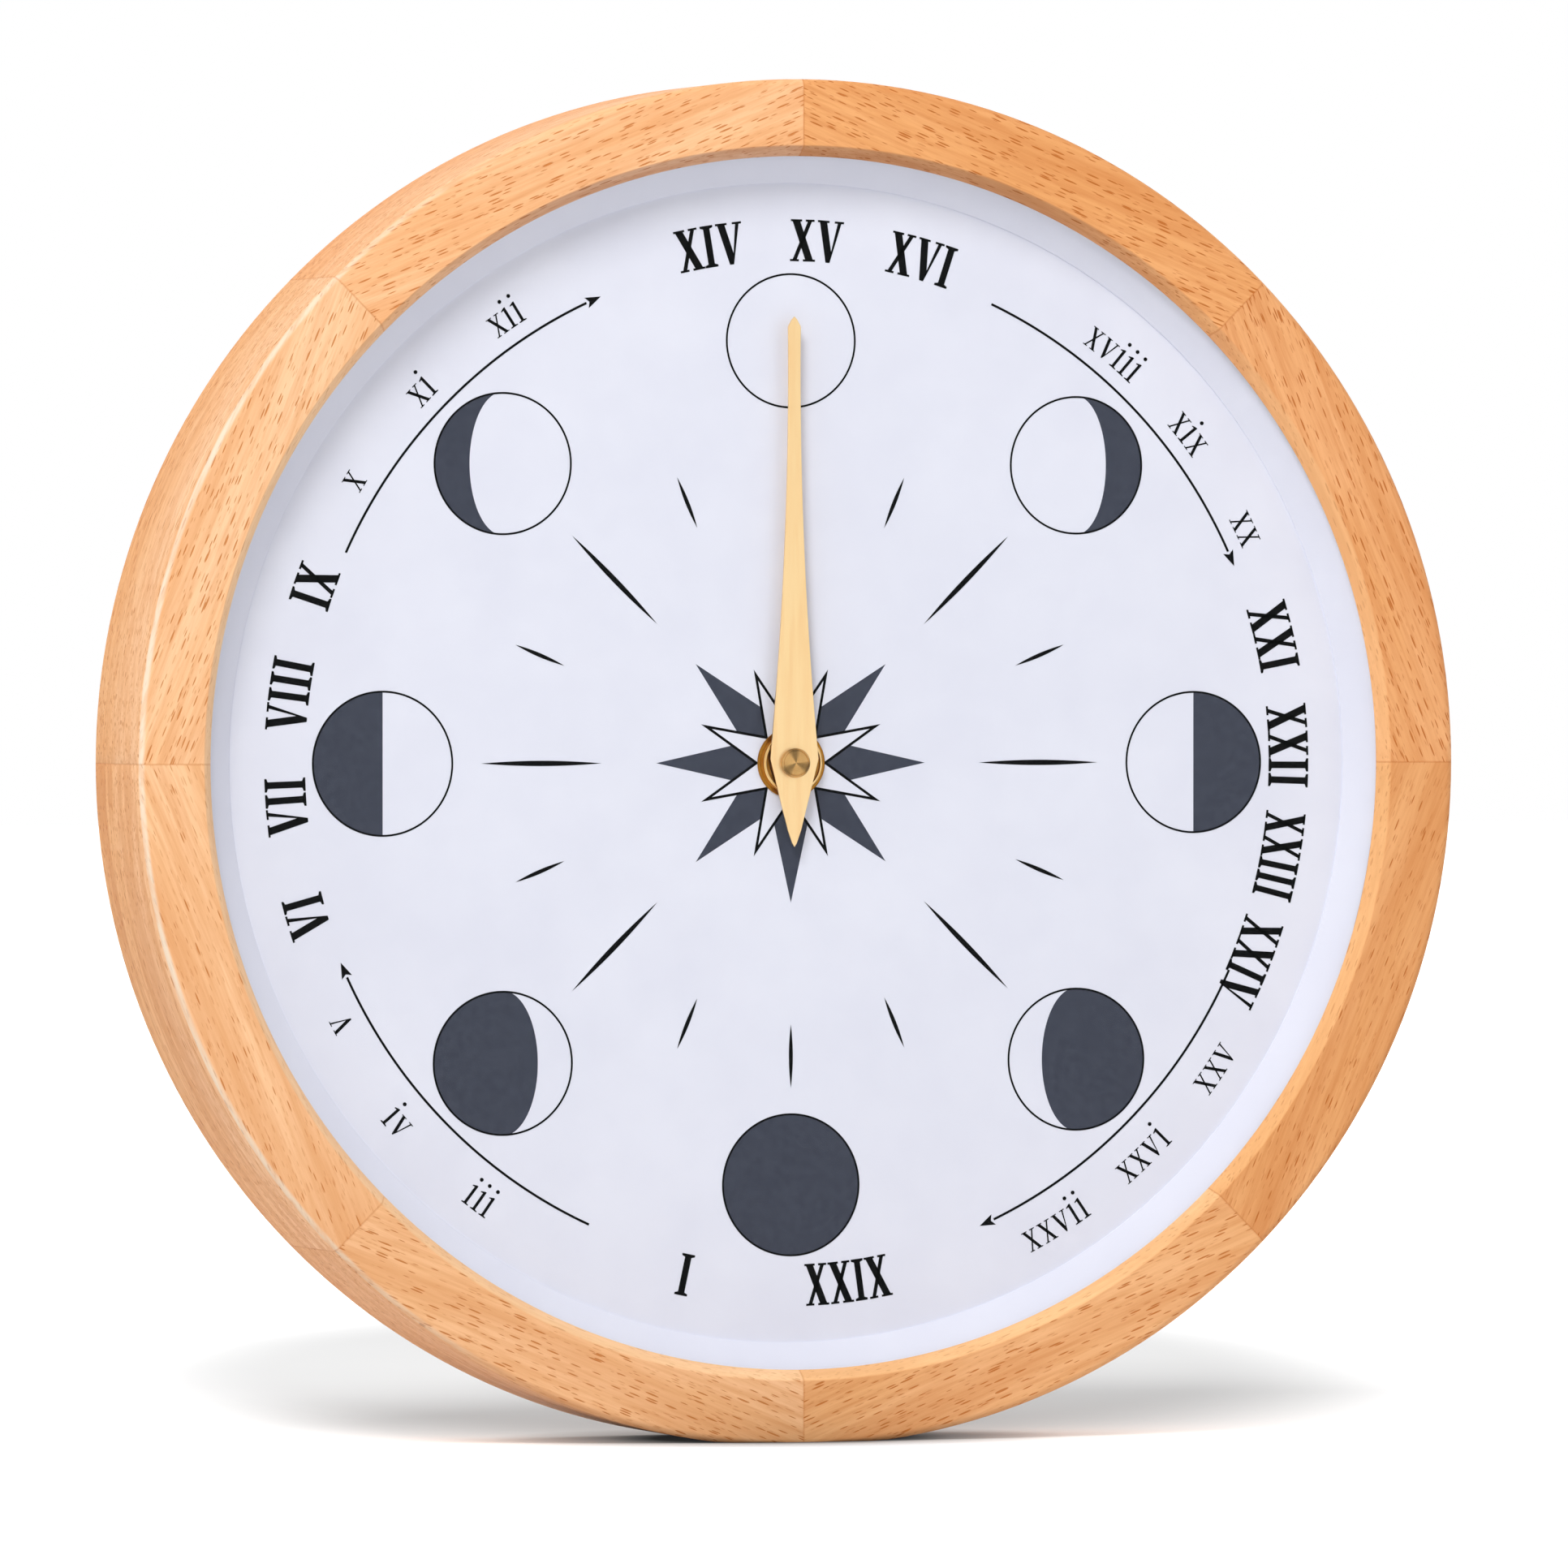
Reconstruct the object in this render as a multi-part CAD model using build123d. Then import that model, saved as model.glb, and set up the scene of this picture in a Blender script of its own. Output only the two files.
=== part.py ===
from build123d import *
import math
import os

os.makedirs("parts", exist_ok=True)

# Moon phase desk clock, in millimetres. Every piece is drawn in the dial frame: X to the right,
# Z up and Y back from the front face, with the hand's axis at X = Z = 0. The finished part stands
# on the flat under its rim, with its front towards -Y.

# Beech ring
ring_diameter = 205.0
ring_depth = 28.0
segment_count = 8
front_edge_radius = 1.2
front_edge_facets = 3
back_edge_chamfer = 1.0
skirt_thickness = 4.5
board_ledge_width = 4.5
lens_seat_width = 2.2
lip_spread = 1.1
lip_depth = 2.5
rest_flat_width = 25.0

# Lens, flange ring, dial and board, from the front to the back
stack_clearance = 0.3
lens_thickness = 1.0
flange_depth = 3.5
flange_width = 4.2
flange_edge = 0.3
dial_thickness = 0.5
board_thickness = 2.4

# Wood screws that hold the board, one in every second segment
screw_segment_step = 2
screw_shank_diameter = 1.8
screw_head_diameter = 3.6
screw_head_height = 1.0
screw_head_bevel = 0.4
screw_grip = 4.5
screw_clearance = 0.05
screw_hole_spare = 0.5

# Centre fixing: bush through the dial, washers and round nut
bush_diameter = 7.0
bush_hole_clearance = 0.2
bush_bore_clearance = 0.05
bush_head_diameter = 9.0
bush_head_thickness = 0.5
bush_end_below_nut = 0.1
brass_washer_diameter = 10.5
brass_washer_thickness = 0.3
nut_diameter = 9.15
nut_thickness = 1.1
nut_rim_width = 0.45
nut_dish_depth = 0.3
thread_clearance = 0.04
rubber_washer_diameter = 18.0
rubber_washer_thickness = 0.5

# Hand and cap nut
hand_reach = 67.0
hand_tail = 12.6
hand_thickness = 0.4
hand_tip_width = 1.95
hand_tip_length = 1.5
hand_waist_width = 3.4
hand_waist_height = 28.5
hand_widest = 7.5
hand_corner_rise = 0.6
hand_tail_tip_width = 2.05
hand_tail_tip_length = 2.5
hand_above_nut = 0.3
cap_diameter = 4.4
cap_height = 0.9
cap_roof = 0.15
cap_bevel = 0.2
arbor_tip_diameter = 1.8
arbor_tip_gap = 0.1
fit_clearance = 0.02

# Movement housing
case_depth = 15.0
case_wall = 0.9
case_floor = 1.2
case_corner_radius = 3.0
cover_thickness = 1.2
cover_clearance = 0.05
wheel_wall_gap = 1.0
coil_wall_gap = 2.0

# Battery, size AA
cell_diameter = 14.5
cell_length = 50.5
cell_nub_diameter = 5.5
cell_nub_height = 1.2
cell_edge_chamfer = 0.6
cell_clearance = 0.25
cell_above_case_front = 0.3
cell_window_width = 8.4

# Battery contacts
contact_thickness = 0.4
contact_plate_width = 9.0
contact_boss_diameter = 4.0
contact_boss_height = 1.35
contact_gap = 0.1
contact_strip_width = 4.0
contact_tab_reach = 2.6
contact_tab_height = 2.6

# Wheel train
tooth_module = 0.35
wheel_teeth = 48
pinion_leaves = 8
setting_leaves = 12
tooth_addendum_share = 0.9
tooth_dedendum_share = 1.2
leaf_addendum_share = 0.8
leaf_dedendum_share = 1.15
tooth_tip_share = 0.10
tooth_root_share = 0.27
leaf_tip_share = 0.06
leaf_pitch_share = 0.19
leaf_root_share = 0.19
wheel_thickness = 1.0
wheel_level_pitch = 2.0
pinion_overlap = 0.2
first_wheel_gap = 0.4
crossing_count = 3
crossing_diameter = 4.4
crossing_radius_share = 0.56
second_wheel_direction = 135.0
third_wheel_direction = 45.0
rotor_direction = 0.0
setting_direction = -20.0

# Arbors and bearings
arbor_diameter = 1.4
moon_arbor_diameter = 3.0
moon_arbor_rear_diameter = 1.2
pivot_diameter = 0.8
pivot_length = 0.7
pivot_end_gap = 0.2
bearing_clearance = 0.05
shoulder_gap = 0.2

# Stepping motor
magnet_diameter = 6.0
magnet_length = 3.0
magnet_gap_behind_pinion = 0.6
rotor_air_gap = 0.4
stator_thickness = 0.8
stator_leg_width = 8.0
stator_arm_width = 3.0
stator_height = 21.0
coil_offset = 11.0
core_width = 2.4
core_end_width = 4.0
winding_diameter = 5.8
bobbin_flange_width = 7.0
bobbin_flange_thickness = 0.6
bobbin_tube_diameter = 3.6
bobbin_end_gap = 0.4
post_diameter = 2.4
peg_diameter = 1.2
peg_stand = 0.4

# Circuit board, quartz crystal and chip
circuit_thickness = 0.6
circuit_strip_height = 4.6
circuit_tab_width = 12.5
circuit_tab_height = 16.8
circuit_end_gap = 2.1
circuit_wall_gap = 0.4
circuit_depth_share = 0.667
crystal_diameter = 2.0
crystal_length = 6.0
crystal_drop = 4.5
chip_diameter = 5.0
chip_height = 0.8
chip_rise = 6.0

# Setting knob
setting_arbor_diameter = 2.0
knob_diameter = 9.5
knob_flutes = 18
knob_flute_depth = 0.35
knob_stand = 1.0
knob_gap = 0.2
knob_bore_depth = 2.4
knob_pocket_clearance = 1.25
knob_pocket_depth = 2.6
knob_pocket_wall = 1.0

# Places that follow from the sizes above
ring_radius = ring_diameter / 2
board_pocket_radius = ring_radius - skirt_thickness
lens_pocket_radius = board_pocket_radius - board_ledge_width
lip_radius = lens_pocket_radius - lens_seat_width
screw_circle_radius = (lens_pocket_radius + board_pocket_radius) / 2
stack_radius = lens_pocket_radius - stack_clearance
board_radius = board_pocket_radius - stack_clearance
centre_height = math.sqrt(ring_radius**2 - (rest_flat_width / 2) ** 2)
centre_hole_diameter = bush_diameter + 2 * bush_hole_clearance
bush_bore_diameter = moon_arbor_diameter + 2 * bush_bore_clearance
rotor_hole_diameter = magnet_diameter + 2 * rotor_air_gap
knob_pocket_diameter = knob_diameter + 2 * knob_pocket_clearance
lens_front = lip_depth
flange_front = lens_front + lens_thickness
dial_front = flange_front + flange_depth
board_front = dial_front + dial_thickness
board_back = board_front + board_thickness
case_front = board_back + rubber_washer_thickness
case_back = case_front + case_depth
floor_back = case_front + case_floor
cover_front = case_back - cover_thickness
washer_front = dial_front - brass_washer_thickness
nut_front = washer_front - nut_thickness
hand_back = nut_front - hand_above_nut
hand_front = hand_back - hand_thickness
cap_front = hand_front - cap_height
cell_centre_depth = case_front + cell_above_case_front + cell_diameter / 2
moon_level = floor_back + bush_head_thickness + first_wheel_gap
second_level = moon_level + wheel_level_pitch
third_level = second_level + wheel_level_pitch
wheel_radius = tooth_module * wheel_teeth / 2
wheel_root_radius = wheel_radius - tooth_dedendum_share * tooth_module
wheel_tip_radius = wheel_radius + tooth_addendum_share * tooth_module
stage_distance = tooth_module * (wheel_teeth + pinion_leaves) / 2
setting_distance = tooth_module * (wheel_teeth + setting_leaves) / 2
magnet_front = third_level + wheel_level_pitch + magnet_gap_behind_pinion
stator_front = magnet_front + (magnet_length - stator_thickness) / 2
core_front = stator_front - stator_thickness
core_middle_depth = core_front + stator_thickness / 2
pocket_floor_front = case_back - knob_pocket_depth - knob_pocket_wall
circuit_front = floor_back + (cover_front - floor_back) * circuit_depth_share
circuit_back = circuit_front + circuit_thickness


def step_from(place, distance, direction):
    """The point at a distance from a place, along a direction in degrees from +X towards +Z."""
    angle = math.radians(direction)
    return (place[0] + distance * math.cos(angle), place[1] + distance * math.sin(angle))


moon_axis = (0, 0)
second_axis = step_from(moon_axis, stage_distance, second_wheel_direction)
third_axis = step_from(second_axis, stage_distance, third_wheel_direction)
rotor_axis = step_from(third_axis, stage_distance, rotor_direction)
setting_axis = step_from(moon_axis, setting_distance, setting_direction)
coil_axis = (rotor_axis[0] + coil_offset, rotor_axis[1])

# The case is square round the hand's axis, as wide as the cell, the coil or the wheels need
bay_half_height = cell_diameter / 2 + cell_clearance
cell_need = cell_length / 2 + contact_boss_height + contact_thickness + contact_gap
coil_need = coil_axis[0] + bobbin_flange_width / 2 + coil_wall_gap
bay_need = wheel_tip_radius + wheel_wall_gap + case_wall + 2 * bay_half_height
room_half_width = max(cell_need, coil_need, bay_need)
case_width = 2 * (room_half_width + case_wall)
cell_centre_height = bay_half_height - room_half_width
bay_top = cell_centre_height + bay_half_height
gear_room_bottom = bay_top + case_wall
cover_bottom = bay_top + case_wall / 2
circuit_bottom = gear_room_bottom + circuit_wall_gap


def depth_plane(depth):
    """The plane at one depth behind the front face, with X right, Z up and its normal forwards."""
    return Plane(origin=(0, depth, 0), x_dir=(1, 0, 0), z_dir=(0, -1, 0))


def slab(outline, front, back):
    """An outline drawn as seen from the front, made solid from one depth to another."""
    return extrude(depth_plane(back) * outline, back - front)


def rod(diameter, front, back, place=(0, 0)):
    """A round rod or disc along the depth."""
    return slab(Pos(*place) * Circle(diameter / 2), front, back)


def block(width, height, front, back, place=(0, 0)):
    """A rectangular block centred on a place."""
    return slab(Pos(*place) * Rectangle(width, height), front, back)


def turned(points):
    """A solid turned about the hand's axis from a closed outline of (radius, depth) points."""
    return revolve(make_face(Polyline(*points, close=True)), axis=Axis.Y)


def around(count, first_angle=0.0):
    """Equal turns about the hand's axis."""
    return [Rot(0, first_angle + 360 * index / count, 0) for index in range(count)]


def rounded_front_edge():
    """Points down the ring's outer front edge, from the front face to the outer wall."""
    centre = (ring_radius - front_edge_radius, front_edge_radius)
    step = 90 / front_edge_facets
    return [step_from(centre, front_edge_radius, index * step - 90) for index in range(front_edge_facets + 1)]


def frame_section():
    """Section of the beech ring: eased front edge, splayed lip, lens pocket and board pocket."""
    outline = [
        (lip_radius + lip_spread, 0),
        *rounded_front_edge(),
        (ring_radius, ring_depth - back_edge_chamfer),
        (ring_radius - back_edge_chamfer, ring_depth),
        (board_pocket_radius, ring_depth),
        (board_pocket_radius, board_front),
        (lens_pocket_radius, board_front),
        (lens_pocket_radius, lip_depth),
        (lip_radius, lip_depth),
    ]
    return make_face(Polyline(*outline, close=True))


def screw_turns():
    """Turns to the middle of each segment that takes a screw."""
    return around(segment_count // screw_segment_step, 180 / segment_count)


def screw_hole():
    """One straight hole on the screw circle, from behind the board into the ring."""
    place = (screw_circle_radius, 0)
    tip = board_front - screw_grip - screw_hole_spare
    return rod(screw_shank_diameter + 2 * screw_clearance, tip, board_back, place)


def frame_segments():
    """Eight mitred segments; the two at the bottom share the flat that the clock rests on."""
    turn = 360 / segment_count
    blank = revolve(frame_section(), axis=Axis.Y, revolution_arc=turn)
    bored = blank - Rot(0, turn / 2, 0) * screw_hole()
    below_rest = Pos(0, ring_depth / 2, -centre_height - ring_radius / 2)
    floor_cut = below_rest * Box(ring_diameter, 2 * ring_depth, ring_radius)
    segments = []
    for index, place in enumerate(around(segment_count)):
        segment = blank if index % screw_segment_step else bored
        segments.append(place * segment - floor_cut)
    return segments


def glass_lens():
    return rod(2 * stack_radius, lens_front, flange_front)


def dial_flange_ring():
    """White bevelled ring that keeps the lens off the dial."""
    back_radius = lip_radius - flange_width
    return turned([
        (lip_radius, flange_front),
        (stack_radius, flange_front),
        (stack_radius, dial_front),
        (back_radius, dial_front),
        (back_radius, dial_front - flange_edge),
    ])


def dial_plate():
    return rod(2 * stack_radius, dial_front, board_front) - rod(centre_hole_diameter, dial_front, board_front)


def backing_board():
    board = rod(2 * board_radius, board_front, board_back)
    board -= rod(centre_hole_diameter, board_front, board_back)
    for turn in screw_turns():
        board -= turn * screw_hole()
    return board


def board_screws():
    """Pan-headed wood screws, through the board into the ring."""
    place = (screw_circle_radius, 0)
    head = rod(screw_head_diameter, board_back, board_back + screw_head_height, place)
    head = chamfer(head.edges().group_by(Axis.Y)[-1], screw_head_bevel)
    screw = head + rod(screw_shank_diameter, board_front - screw_grip, board_back, place)
    return Compound(children=[turn * screw for turn in screw_turns()])


def washer(diameter, front, back):
    return rod(diameter, front, back) - rod(centre_hole_diameter, front, back)


def threaded_bush():
    """Brass bush of the movement, headed inside the case and running out to the nut."""
    bush = rod(bush_diameter, nut_front + bush_end_below_nut, floor_back)
    bush += rod(bush_head_diameter, floor_back, floor_back + bush_head_thickness)
    return bush - rod(bush_bore_diameter, nut_front, floor_back + bush_head_thickness)


def bush_nut():
    """Round nut with a raised rim round its dished face."""
    nut = rod(nut_diameter, nut_front, washer_front)
    nut -= rod(nut_diameter - 2 * nut_rim_width, nut_front, nut_front + nut_dish_depth)
    return nut - rod(bush_diameter + 2 * thread_clearance, nut_front, washer_front)


def moon_hand():
    """Flat hand: a bullet tip, edges that sweep out to the pivot and a kite-shaped tail."""
    shoulder = (hand_tip_width / 2, hand_reach - hand_tip_length)
    waist = (hand_waist_width / 2, hand_waist_height)
    corner = (hand_widest / 2, hand_corner_rise)
    tail_shoulder = (hand_tail_tip_width / 2, hand_tail_tip_length - hand_tail)
    right_edge = [
        Line((0, hand_reach), shoulder),
        ThreePointArc(shoulder, waist, corner),
        Line(corner, tail_shoulder),
        Line(tail_shoulder, (0, -hand_tail)),
    ]
    left_edge = [mirror(edge, about=Plane.YZ) for edge in right_edge]
    outline = make_face(right_edge + left_edge)
    blade = slab(outline, hand_front, hand_back)
    return blade - rod(arbor_tip_diameter + 2 * fit_clearance, hand_front, hand_back)


def cap_nut():
    """Small turned cap that closes over the arbor's tip."""
    cap = rod(cap_diameter, cap_front, hand_front)
    cap = chamfer(cap.edges().group_by(Axis.Y)[0], cap_bevel)
    return cap - rod(arbor_tip_diameter + 2 * fit_clearance, cap_front + cap_roof, hand_front)


def toothed_outline(teeth, half_widths, phase):
    """Closed outline of a toothed wheel. half_widths lists, from root to tip, a radius and the
    tooth's half width there as a share of the tooth pitch."""
    pitch = 360 / teeth
    corners = []
    for index in range(teeth):
        middle = phase + index * pitch
        rising = [(radius, middle - share * pitch) for radius, share in half_widths]
        falling = [(radius, middle + share * pitch) for radius, share in reversed(half_widths)]
        corners += [step_from((0, 0), radius, angle) for radius, angle in rising + falling]
    return make_face(Polyline(*corners, close=True))


def wheel_outline(phase):
    tooth = [(wheel_root_radius, tooth_root_share), (wheel_tip_radius, tooth_tip_share)]
    return toothed_outline(wheel_teeth, tooth, phase)


def pinion_outline(leaves, phase):
    pitch_radius = tooth_module * leaves / 2
    root = pitch_radius - leaf_dedendum_share * tooth_module
    tip = pitch_radius + leaf_addendum_share * tooth_module
    leaf = [(root, leaf_root_share), (pitch_radius, leaf_pitch_share), (tip, leaf_tip_share)]
    return toothed_outline(leaves, leaf, phase)


def mesh_phase(teeth, phase, direction, mating_teeth):
    """Phase that puts a gap of the mating gear opposite each tooth on the line of centres."""
    offset = (direction - phase) * teeth / 360
    return direction + 180 - (0.5 - offset) * 360 / mating_teeth


def wheel_disc(level, phase):
    """Toothed wheel at one level."""
    return slab(wheel_outline(phase), level, level + wheel_thickness)


def crossed_wheel_disc(level, phase):
    """Toothed wheel with round crossings through its web."""
    outline = wheel_outline(phase)
    crossing_place = (crossing_radius_share * wheel_radius, 0)
    for index in range(crossing_count):
        turn = Rot(0, 0, 360 * index / crossing_count)
        outline -= turn * Pos(*crossing_place) * Circle(crossing_diameter / 2)
    return slab(outline, level, level + wheel_thickness)


def arbor(front, back, diameter):
    """Plain arbor with a thinner pivot at each end, for the floor and for the cover."""
    body = rod(diameter, front, back)
    front_pivot = rod(pivot_diameter, floor_back - pivot_length, front)
    back_pivot = rod(pivot_diameter, back, cover_front + pivot_length)
    return body + front_pivot + back_pivot


def geared_arbor(axis, leaves, leaf_phase, level, wheel_phase):
    """Pinion at one level and, behind it, the wheel that it carries."""
    moved = arbor(floor_back + shoulder_gap, cover_front - shoulder_gap, arbor_diameter)
    moved += slab(pinion_outline(leaves, leaf_phase), level - pinion_overlap, level + wheel_level_pitch)
    moved += wheel_disc(level + wheel_level_pitch, wheel_phase)
    return Pos(axis[0], 0, axis[1]) * moved


moon_phase_angle = 0.0
second_leaf_phase = mesh_phase(wheel_teeth, moon_phase_angle, second_wheel_direction, pinion_leaves)
third_leaf_phase = mesh_phase(wheel_teeth, second_leaf_phase, third_wheel_direction, pinion_leaves)
rotor_leaf_phase = mesh_phase(wheel_teeth, third_leaf_phase, rotor_direction, pinion_leaves)
setting_leaf_phase = mesh_phase(wheel_teeth, moon_phase_angle, setting_direction, setting_leaves)


def moon_wheel():
    """Last wheel of the train, on the arbor that runs through the bush to the hand."""
    front_part = rod(moon_arbor_diameter, hand_back, moon_level)
    tip = rod(arbor_tip_diameter, cap_front + cap_roof + arbor_tip_gap, hand_back)
    rear_part = rod(moon_arbor_rear_diameter, moon_level, cover_front - shoulder_gap)
    rear_pivot = rod(pivot_diameter, cover_front - shoulder_gap, cover_front + pivot_length)
    wheel = crossed_wheel_disc(moon_level, moon_phase_angle)
    return wheel + front_part + tip + rear_part + rear_pivot


def second_wheel():
    return geared_arbor(second_axis, pinion_leaves, second_leaf_phase, moon_level, second_leaf_phase)


def third_wheel():
    return geared_arbor(third_axis, pinion_leaves, third_leaf_phase, second_level, third_leaf_phase)


def rotor():
    """Rotor arbor with its pinion; the magnet is pressed on behind."""
    moved = arbor(floor_back + shoulder_gap, cover_front - shoulder_gap, arbor_diameter)
    leaves = pinion_outline(pinion_leaves, rotor_leaf_phase)
    moved += slab(leaves, third_level - pinion_overlap, third_level + wheel_level_pitch)
    moved += rod(bobbin_tube_diameter, third_level + wheel_level_pitch, magnet_front)
    return Pos(rotor_axis[0], 0, rotor_axis[1]) * moved


def rotor_magnet():
    magnet = rod(magnet_diameter, magnet_front, magnet_front + magnet_length)
    magnet -= rod(arbor_diameter + 2 * fit_clearance, magnet_front, magnet_front + magnet_length)
    return Pos(rotor_axis[0], 0, rotor_axis[1]) * magnet


def stator_arm_heights():
    """Heights of the two arms' middles above and below the rotor."""
    offset = (stator_height - stator_arm_width) / 2
    return [coil_axis[1] - offset, coil_axis[1] + offset]


def stator():
    """Flat steel yoke round the rotor, with an arm at each end out to the coil's core."""
    arm_end = coil_axis[0] + core_end_width / 2
    leg_start = rotor_axis[0] - stator_leg_width / 2
    arm_length = arm_end - leg_start
    outline = Pos(*rotor_axis) * Rectangle(stator_leg_width, stator_height)
    for height in stator_arm_heights():
        outline += Pos(leg_start + arm_length / 2, height) * Rectangle(arm_length, stator_arm_width)
        outline -= Pos(coil_axis[0], height) * Circle(peg_diameter / 2 + bearing_clearance)
    outline -= Pos(*rotor_axis) * Circle(rotor_hole_diameter / 2)
    return slab(outline, stator_front, stator_front + stator_thickness)


def coil_core():
    """Soft iron strip through the coil, with wider ends that lie under the stator's arms."""
    outline = Pos(*coil_axis) * Rectangle(core_width, stator_height)
    for height in stator_arm_heights():
        outline += Pos(coil_axis[0], height) * Rectangle(core_end_width, stator_arm_width)
        outline -= Pos(coil_axis[0], height) * Circle(peg_diameter / 2 + bearing_clearance)
    return slab(outline, core_front, stator_front)


def coil_length():
    return stator_height - 2 * (stator_arm_width + bobbin_end_gap)


def upright_rod(diameter, length):
    """A rod that stands along Z round the coil's core."""
    return Pos(coil_axis[0], core_middle_depth, coil_axis[1]) * Cylinder(diameter / 2, length)


def core_passage():
    return block(
        core_width + 2 * bearing_clearance,
        stator_height,
        core_front - bearing_clearance,
        stator_front + bearing_clearance,
        coil_axis,
    )


def coil_bobbin():
    flange_half = bobbin_flange_width / 2
    bobbin = upright_rod(bobbin_tube_diameter, coil_length())
    offset = (coil_length() - bobbin_flange_thickness) / 2
    for height in [coil_axis[1] - offset, coil_axis[1] + offset]:
        bobbin += block(
            bobbin_flange_width,
            bobbin_flange_thickness,
            core_middle_depth - flange_half,
            core_middle_depth + flange_half,
            (coil_axis[0], height),
        )
    return bobbin - core_passage()


def coil_winding():
    length = coil_length() - 2 * bobbin_flange_thickness
    return upright_rod(winding_diameter, length) - upright_rod(bobbin_tube_diameter, length)


def circuit_corner_posts():
    """The two pegs of the circuit board, near its lower corners."""
    reach = room_half_width - circuit_end_gap - post_diameter
    height = circuit_bottom + circuit_strip_height / 2
    return [(-reach, height), (reach, height)]


def circuit_board():
    """L-shaped board along the battery bay, with its tab up the left side."""
    half_width = room_half_width - circuit_end_gap
    strip = Pos(0, circuit_bottom + circuit_strip_height / 2)
    outline = strip * Rectangle(2 * half_width, circuit_strip_height)
    tab = Pos(-half_width + circuit_tab_width / 2, circuit_bottom + circuit_tab_height / 2)
    outline += tab * Rectangle(circuit_tab_width, circuit_tab_height)
    for place in circuit_corner_posts():
        outline -= Pos(*place) * Circle(peg_diameter / 2 + bearing_clearance)
    board = slab(outline, circuit_front, circuit_back)
    chip_place = (-half_width + circuit_tab_width / 2, circuit_bottom + chip_rise)
    chip = rod(chip_diameter, circuit_back, circuit_back + chip_height, chip_place)
    return board + chamfer(chip.edges().group_by(Axis.Y)[-1], chip_height / 2)


def quartz_crystal():
    """Metal can of the quartz crystal, lying on the circuit board's tab."""
    left = -room_half_width + circuit_end_gap + circuit_tab_width / 2
    height = circuit_bottom + circuit_tab_height - crystal_drop
    place = Pos(left, circuit_back + crystal_diameter / 2, height)
    return place * Rot(0, 90, 0) * Cylinder(crystal_diameter / 2, crystal_length)


def battery_cell():
    """AA cell lying across the foot of the case, its nub to the right."""
    body_length = cell_length - cell_nub_height
    body = Cylinder(cell_diameter / 2, body_length)
    body = chamfer(body.edges().filter_by(GeomType.CIRCLE), cell_edge_chamfer)
    nub = Pos(0, 0, (body_length + cell_nub_height) / 2) * Cylinder(cell_nub_diameter / 2, cell_nub_height)
    middle = Pos(-cell_nub_height / 2, cell_centre_depth, cell_centre_height)
    return middle * Rot(0, 90, 0) * (body + nub)


def battery_contact(side):
    """Sprung contact at one end of the bay: a plate with a boss that meets the cell, and a strip
    that passes the bay's wall and folds over the circuit board. side is -1 left and 1 right."""
    outer = room_half_width - contact_gap
    middle = side * (outer - contact_thickness / 2)
    half_plate = contact_plate_width / 2
    plate = block(
        contact_thickness,
        contact_plate_width,
        cell_centre_depth - half_plate,
        cell_centre_depth + half_plate,
        (middle, cell_centre_height),
    )
    tab_bottom = circuit_bottom + circuit_strip_height / 2 - contact_tab_height / 2
    strip_bottom = cell_centre_height + half_plate
    strip_top = tab_bottom + contact_tab_height
    tab_back = circuit_back + contact_thickness
    strip = block(
        contact_thickness,
        strip_top - strip_bottom,
        tab_back - contact_strip_width,
        tab_back,
        (middle, (strip_top + strip_bottom) / 2),
    )
    tab_middle = (side * (outer - contact_tab_reach / 2), tab_bottom + contact_tab_height / 2)
    tab = block(contact_tab_reach, contact_tab_height, circuit_back, tab_back, tab_middle)
    boss_height = outer - contact_thickness - cell_length / 2
    boss = Rot(0, 90, 0) * Cylinder(contact_boss_diameter / 2, boss_height)
    boss_middle = side * (cell_length / 2 + boss_height / 2)
    return plate + strip + tab + Pos(boss_middle, cell_centre_depth, cell_centre_height) * boss


def setting_wheel():
    """Setting pinion on the arbor that carries the knob."""
    knob_end = case_back + knob_stand
    bore_front = knob_end - knob_bore_depth
    moved = rod(setting_arbor_diameter, floor_back + shoulder_gap, bore_front + knob_bore_depth / 2)
    moved += rod(pivot_diameter, floor_back - pivot_length, floor_back + shoulder_gap)
    leaves = pinion_outline(setting_leaves, setting_leaf_phase)
    moved += slab(leaves, moon_level - pinion_overlap, moon_level + wheel_thickness + pinion_overlap)
    return Pos(setting_axis[0], 0, setting_axis[1]) * moved


def setting_knob():
    """Fluted knob, sunk into the cover's pocket."""
    knob_front = case_back - knob_pocket_depth + knob_gap
    knob_end = case_back + knob_stand
    flute = [(knob_diameter / 2 - knob_flute_depth, leaf_pitch_share), (knob_diameter / 2, leaf_pitch_share)]
    knob = slab(toothed_outline(knob_flutes, flute, 0), knob_front, knob_end)
    knob -= rod(setting_arbor_diameter + 2 * fit_clearance, knob_front, knob_end - knob_bore_depth / 2)
    return Pos(setting_axis[0], 0, setting_axis[1]) * knob


def case_outline():
    return RectangleRounded(case_width, case_width, case_corner_radius)


def pegged_post(place, seat, peg_end):
    """Round post on the case floor with a thinner peg through what it carries."""
    return rod(post_diameter, floor_back, seat, place) + rod(peg_diameter, seat, peg_end, place)


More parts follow.
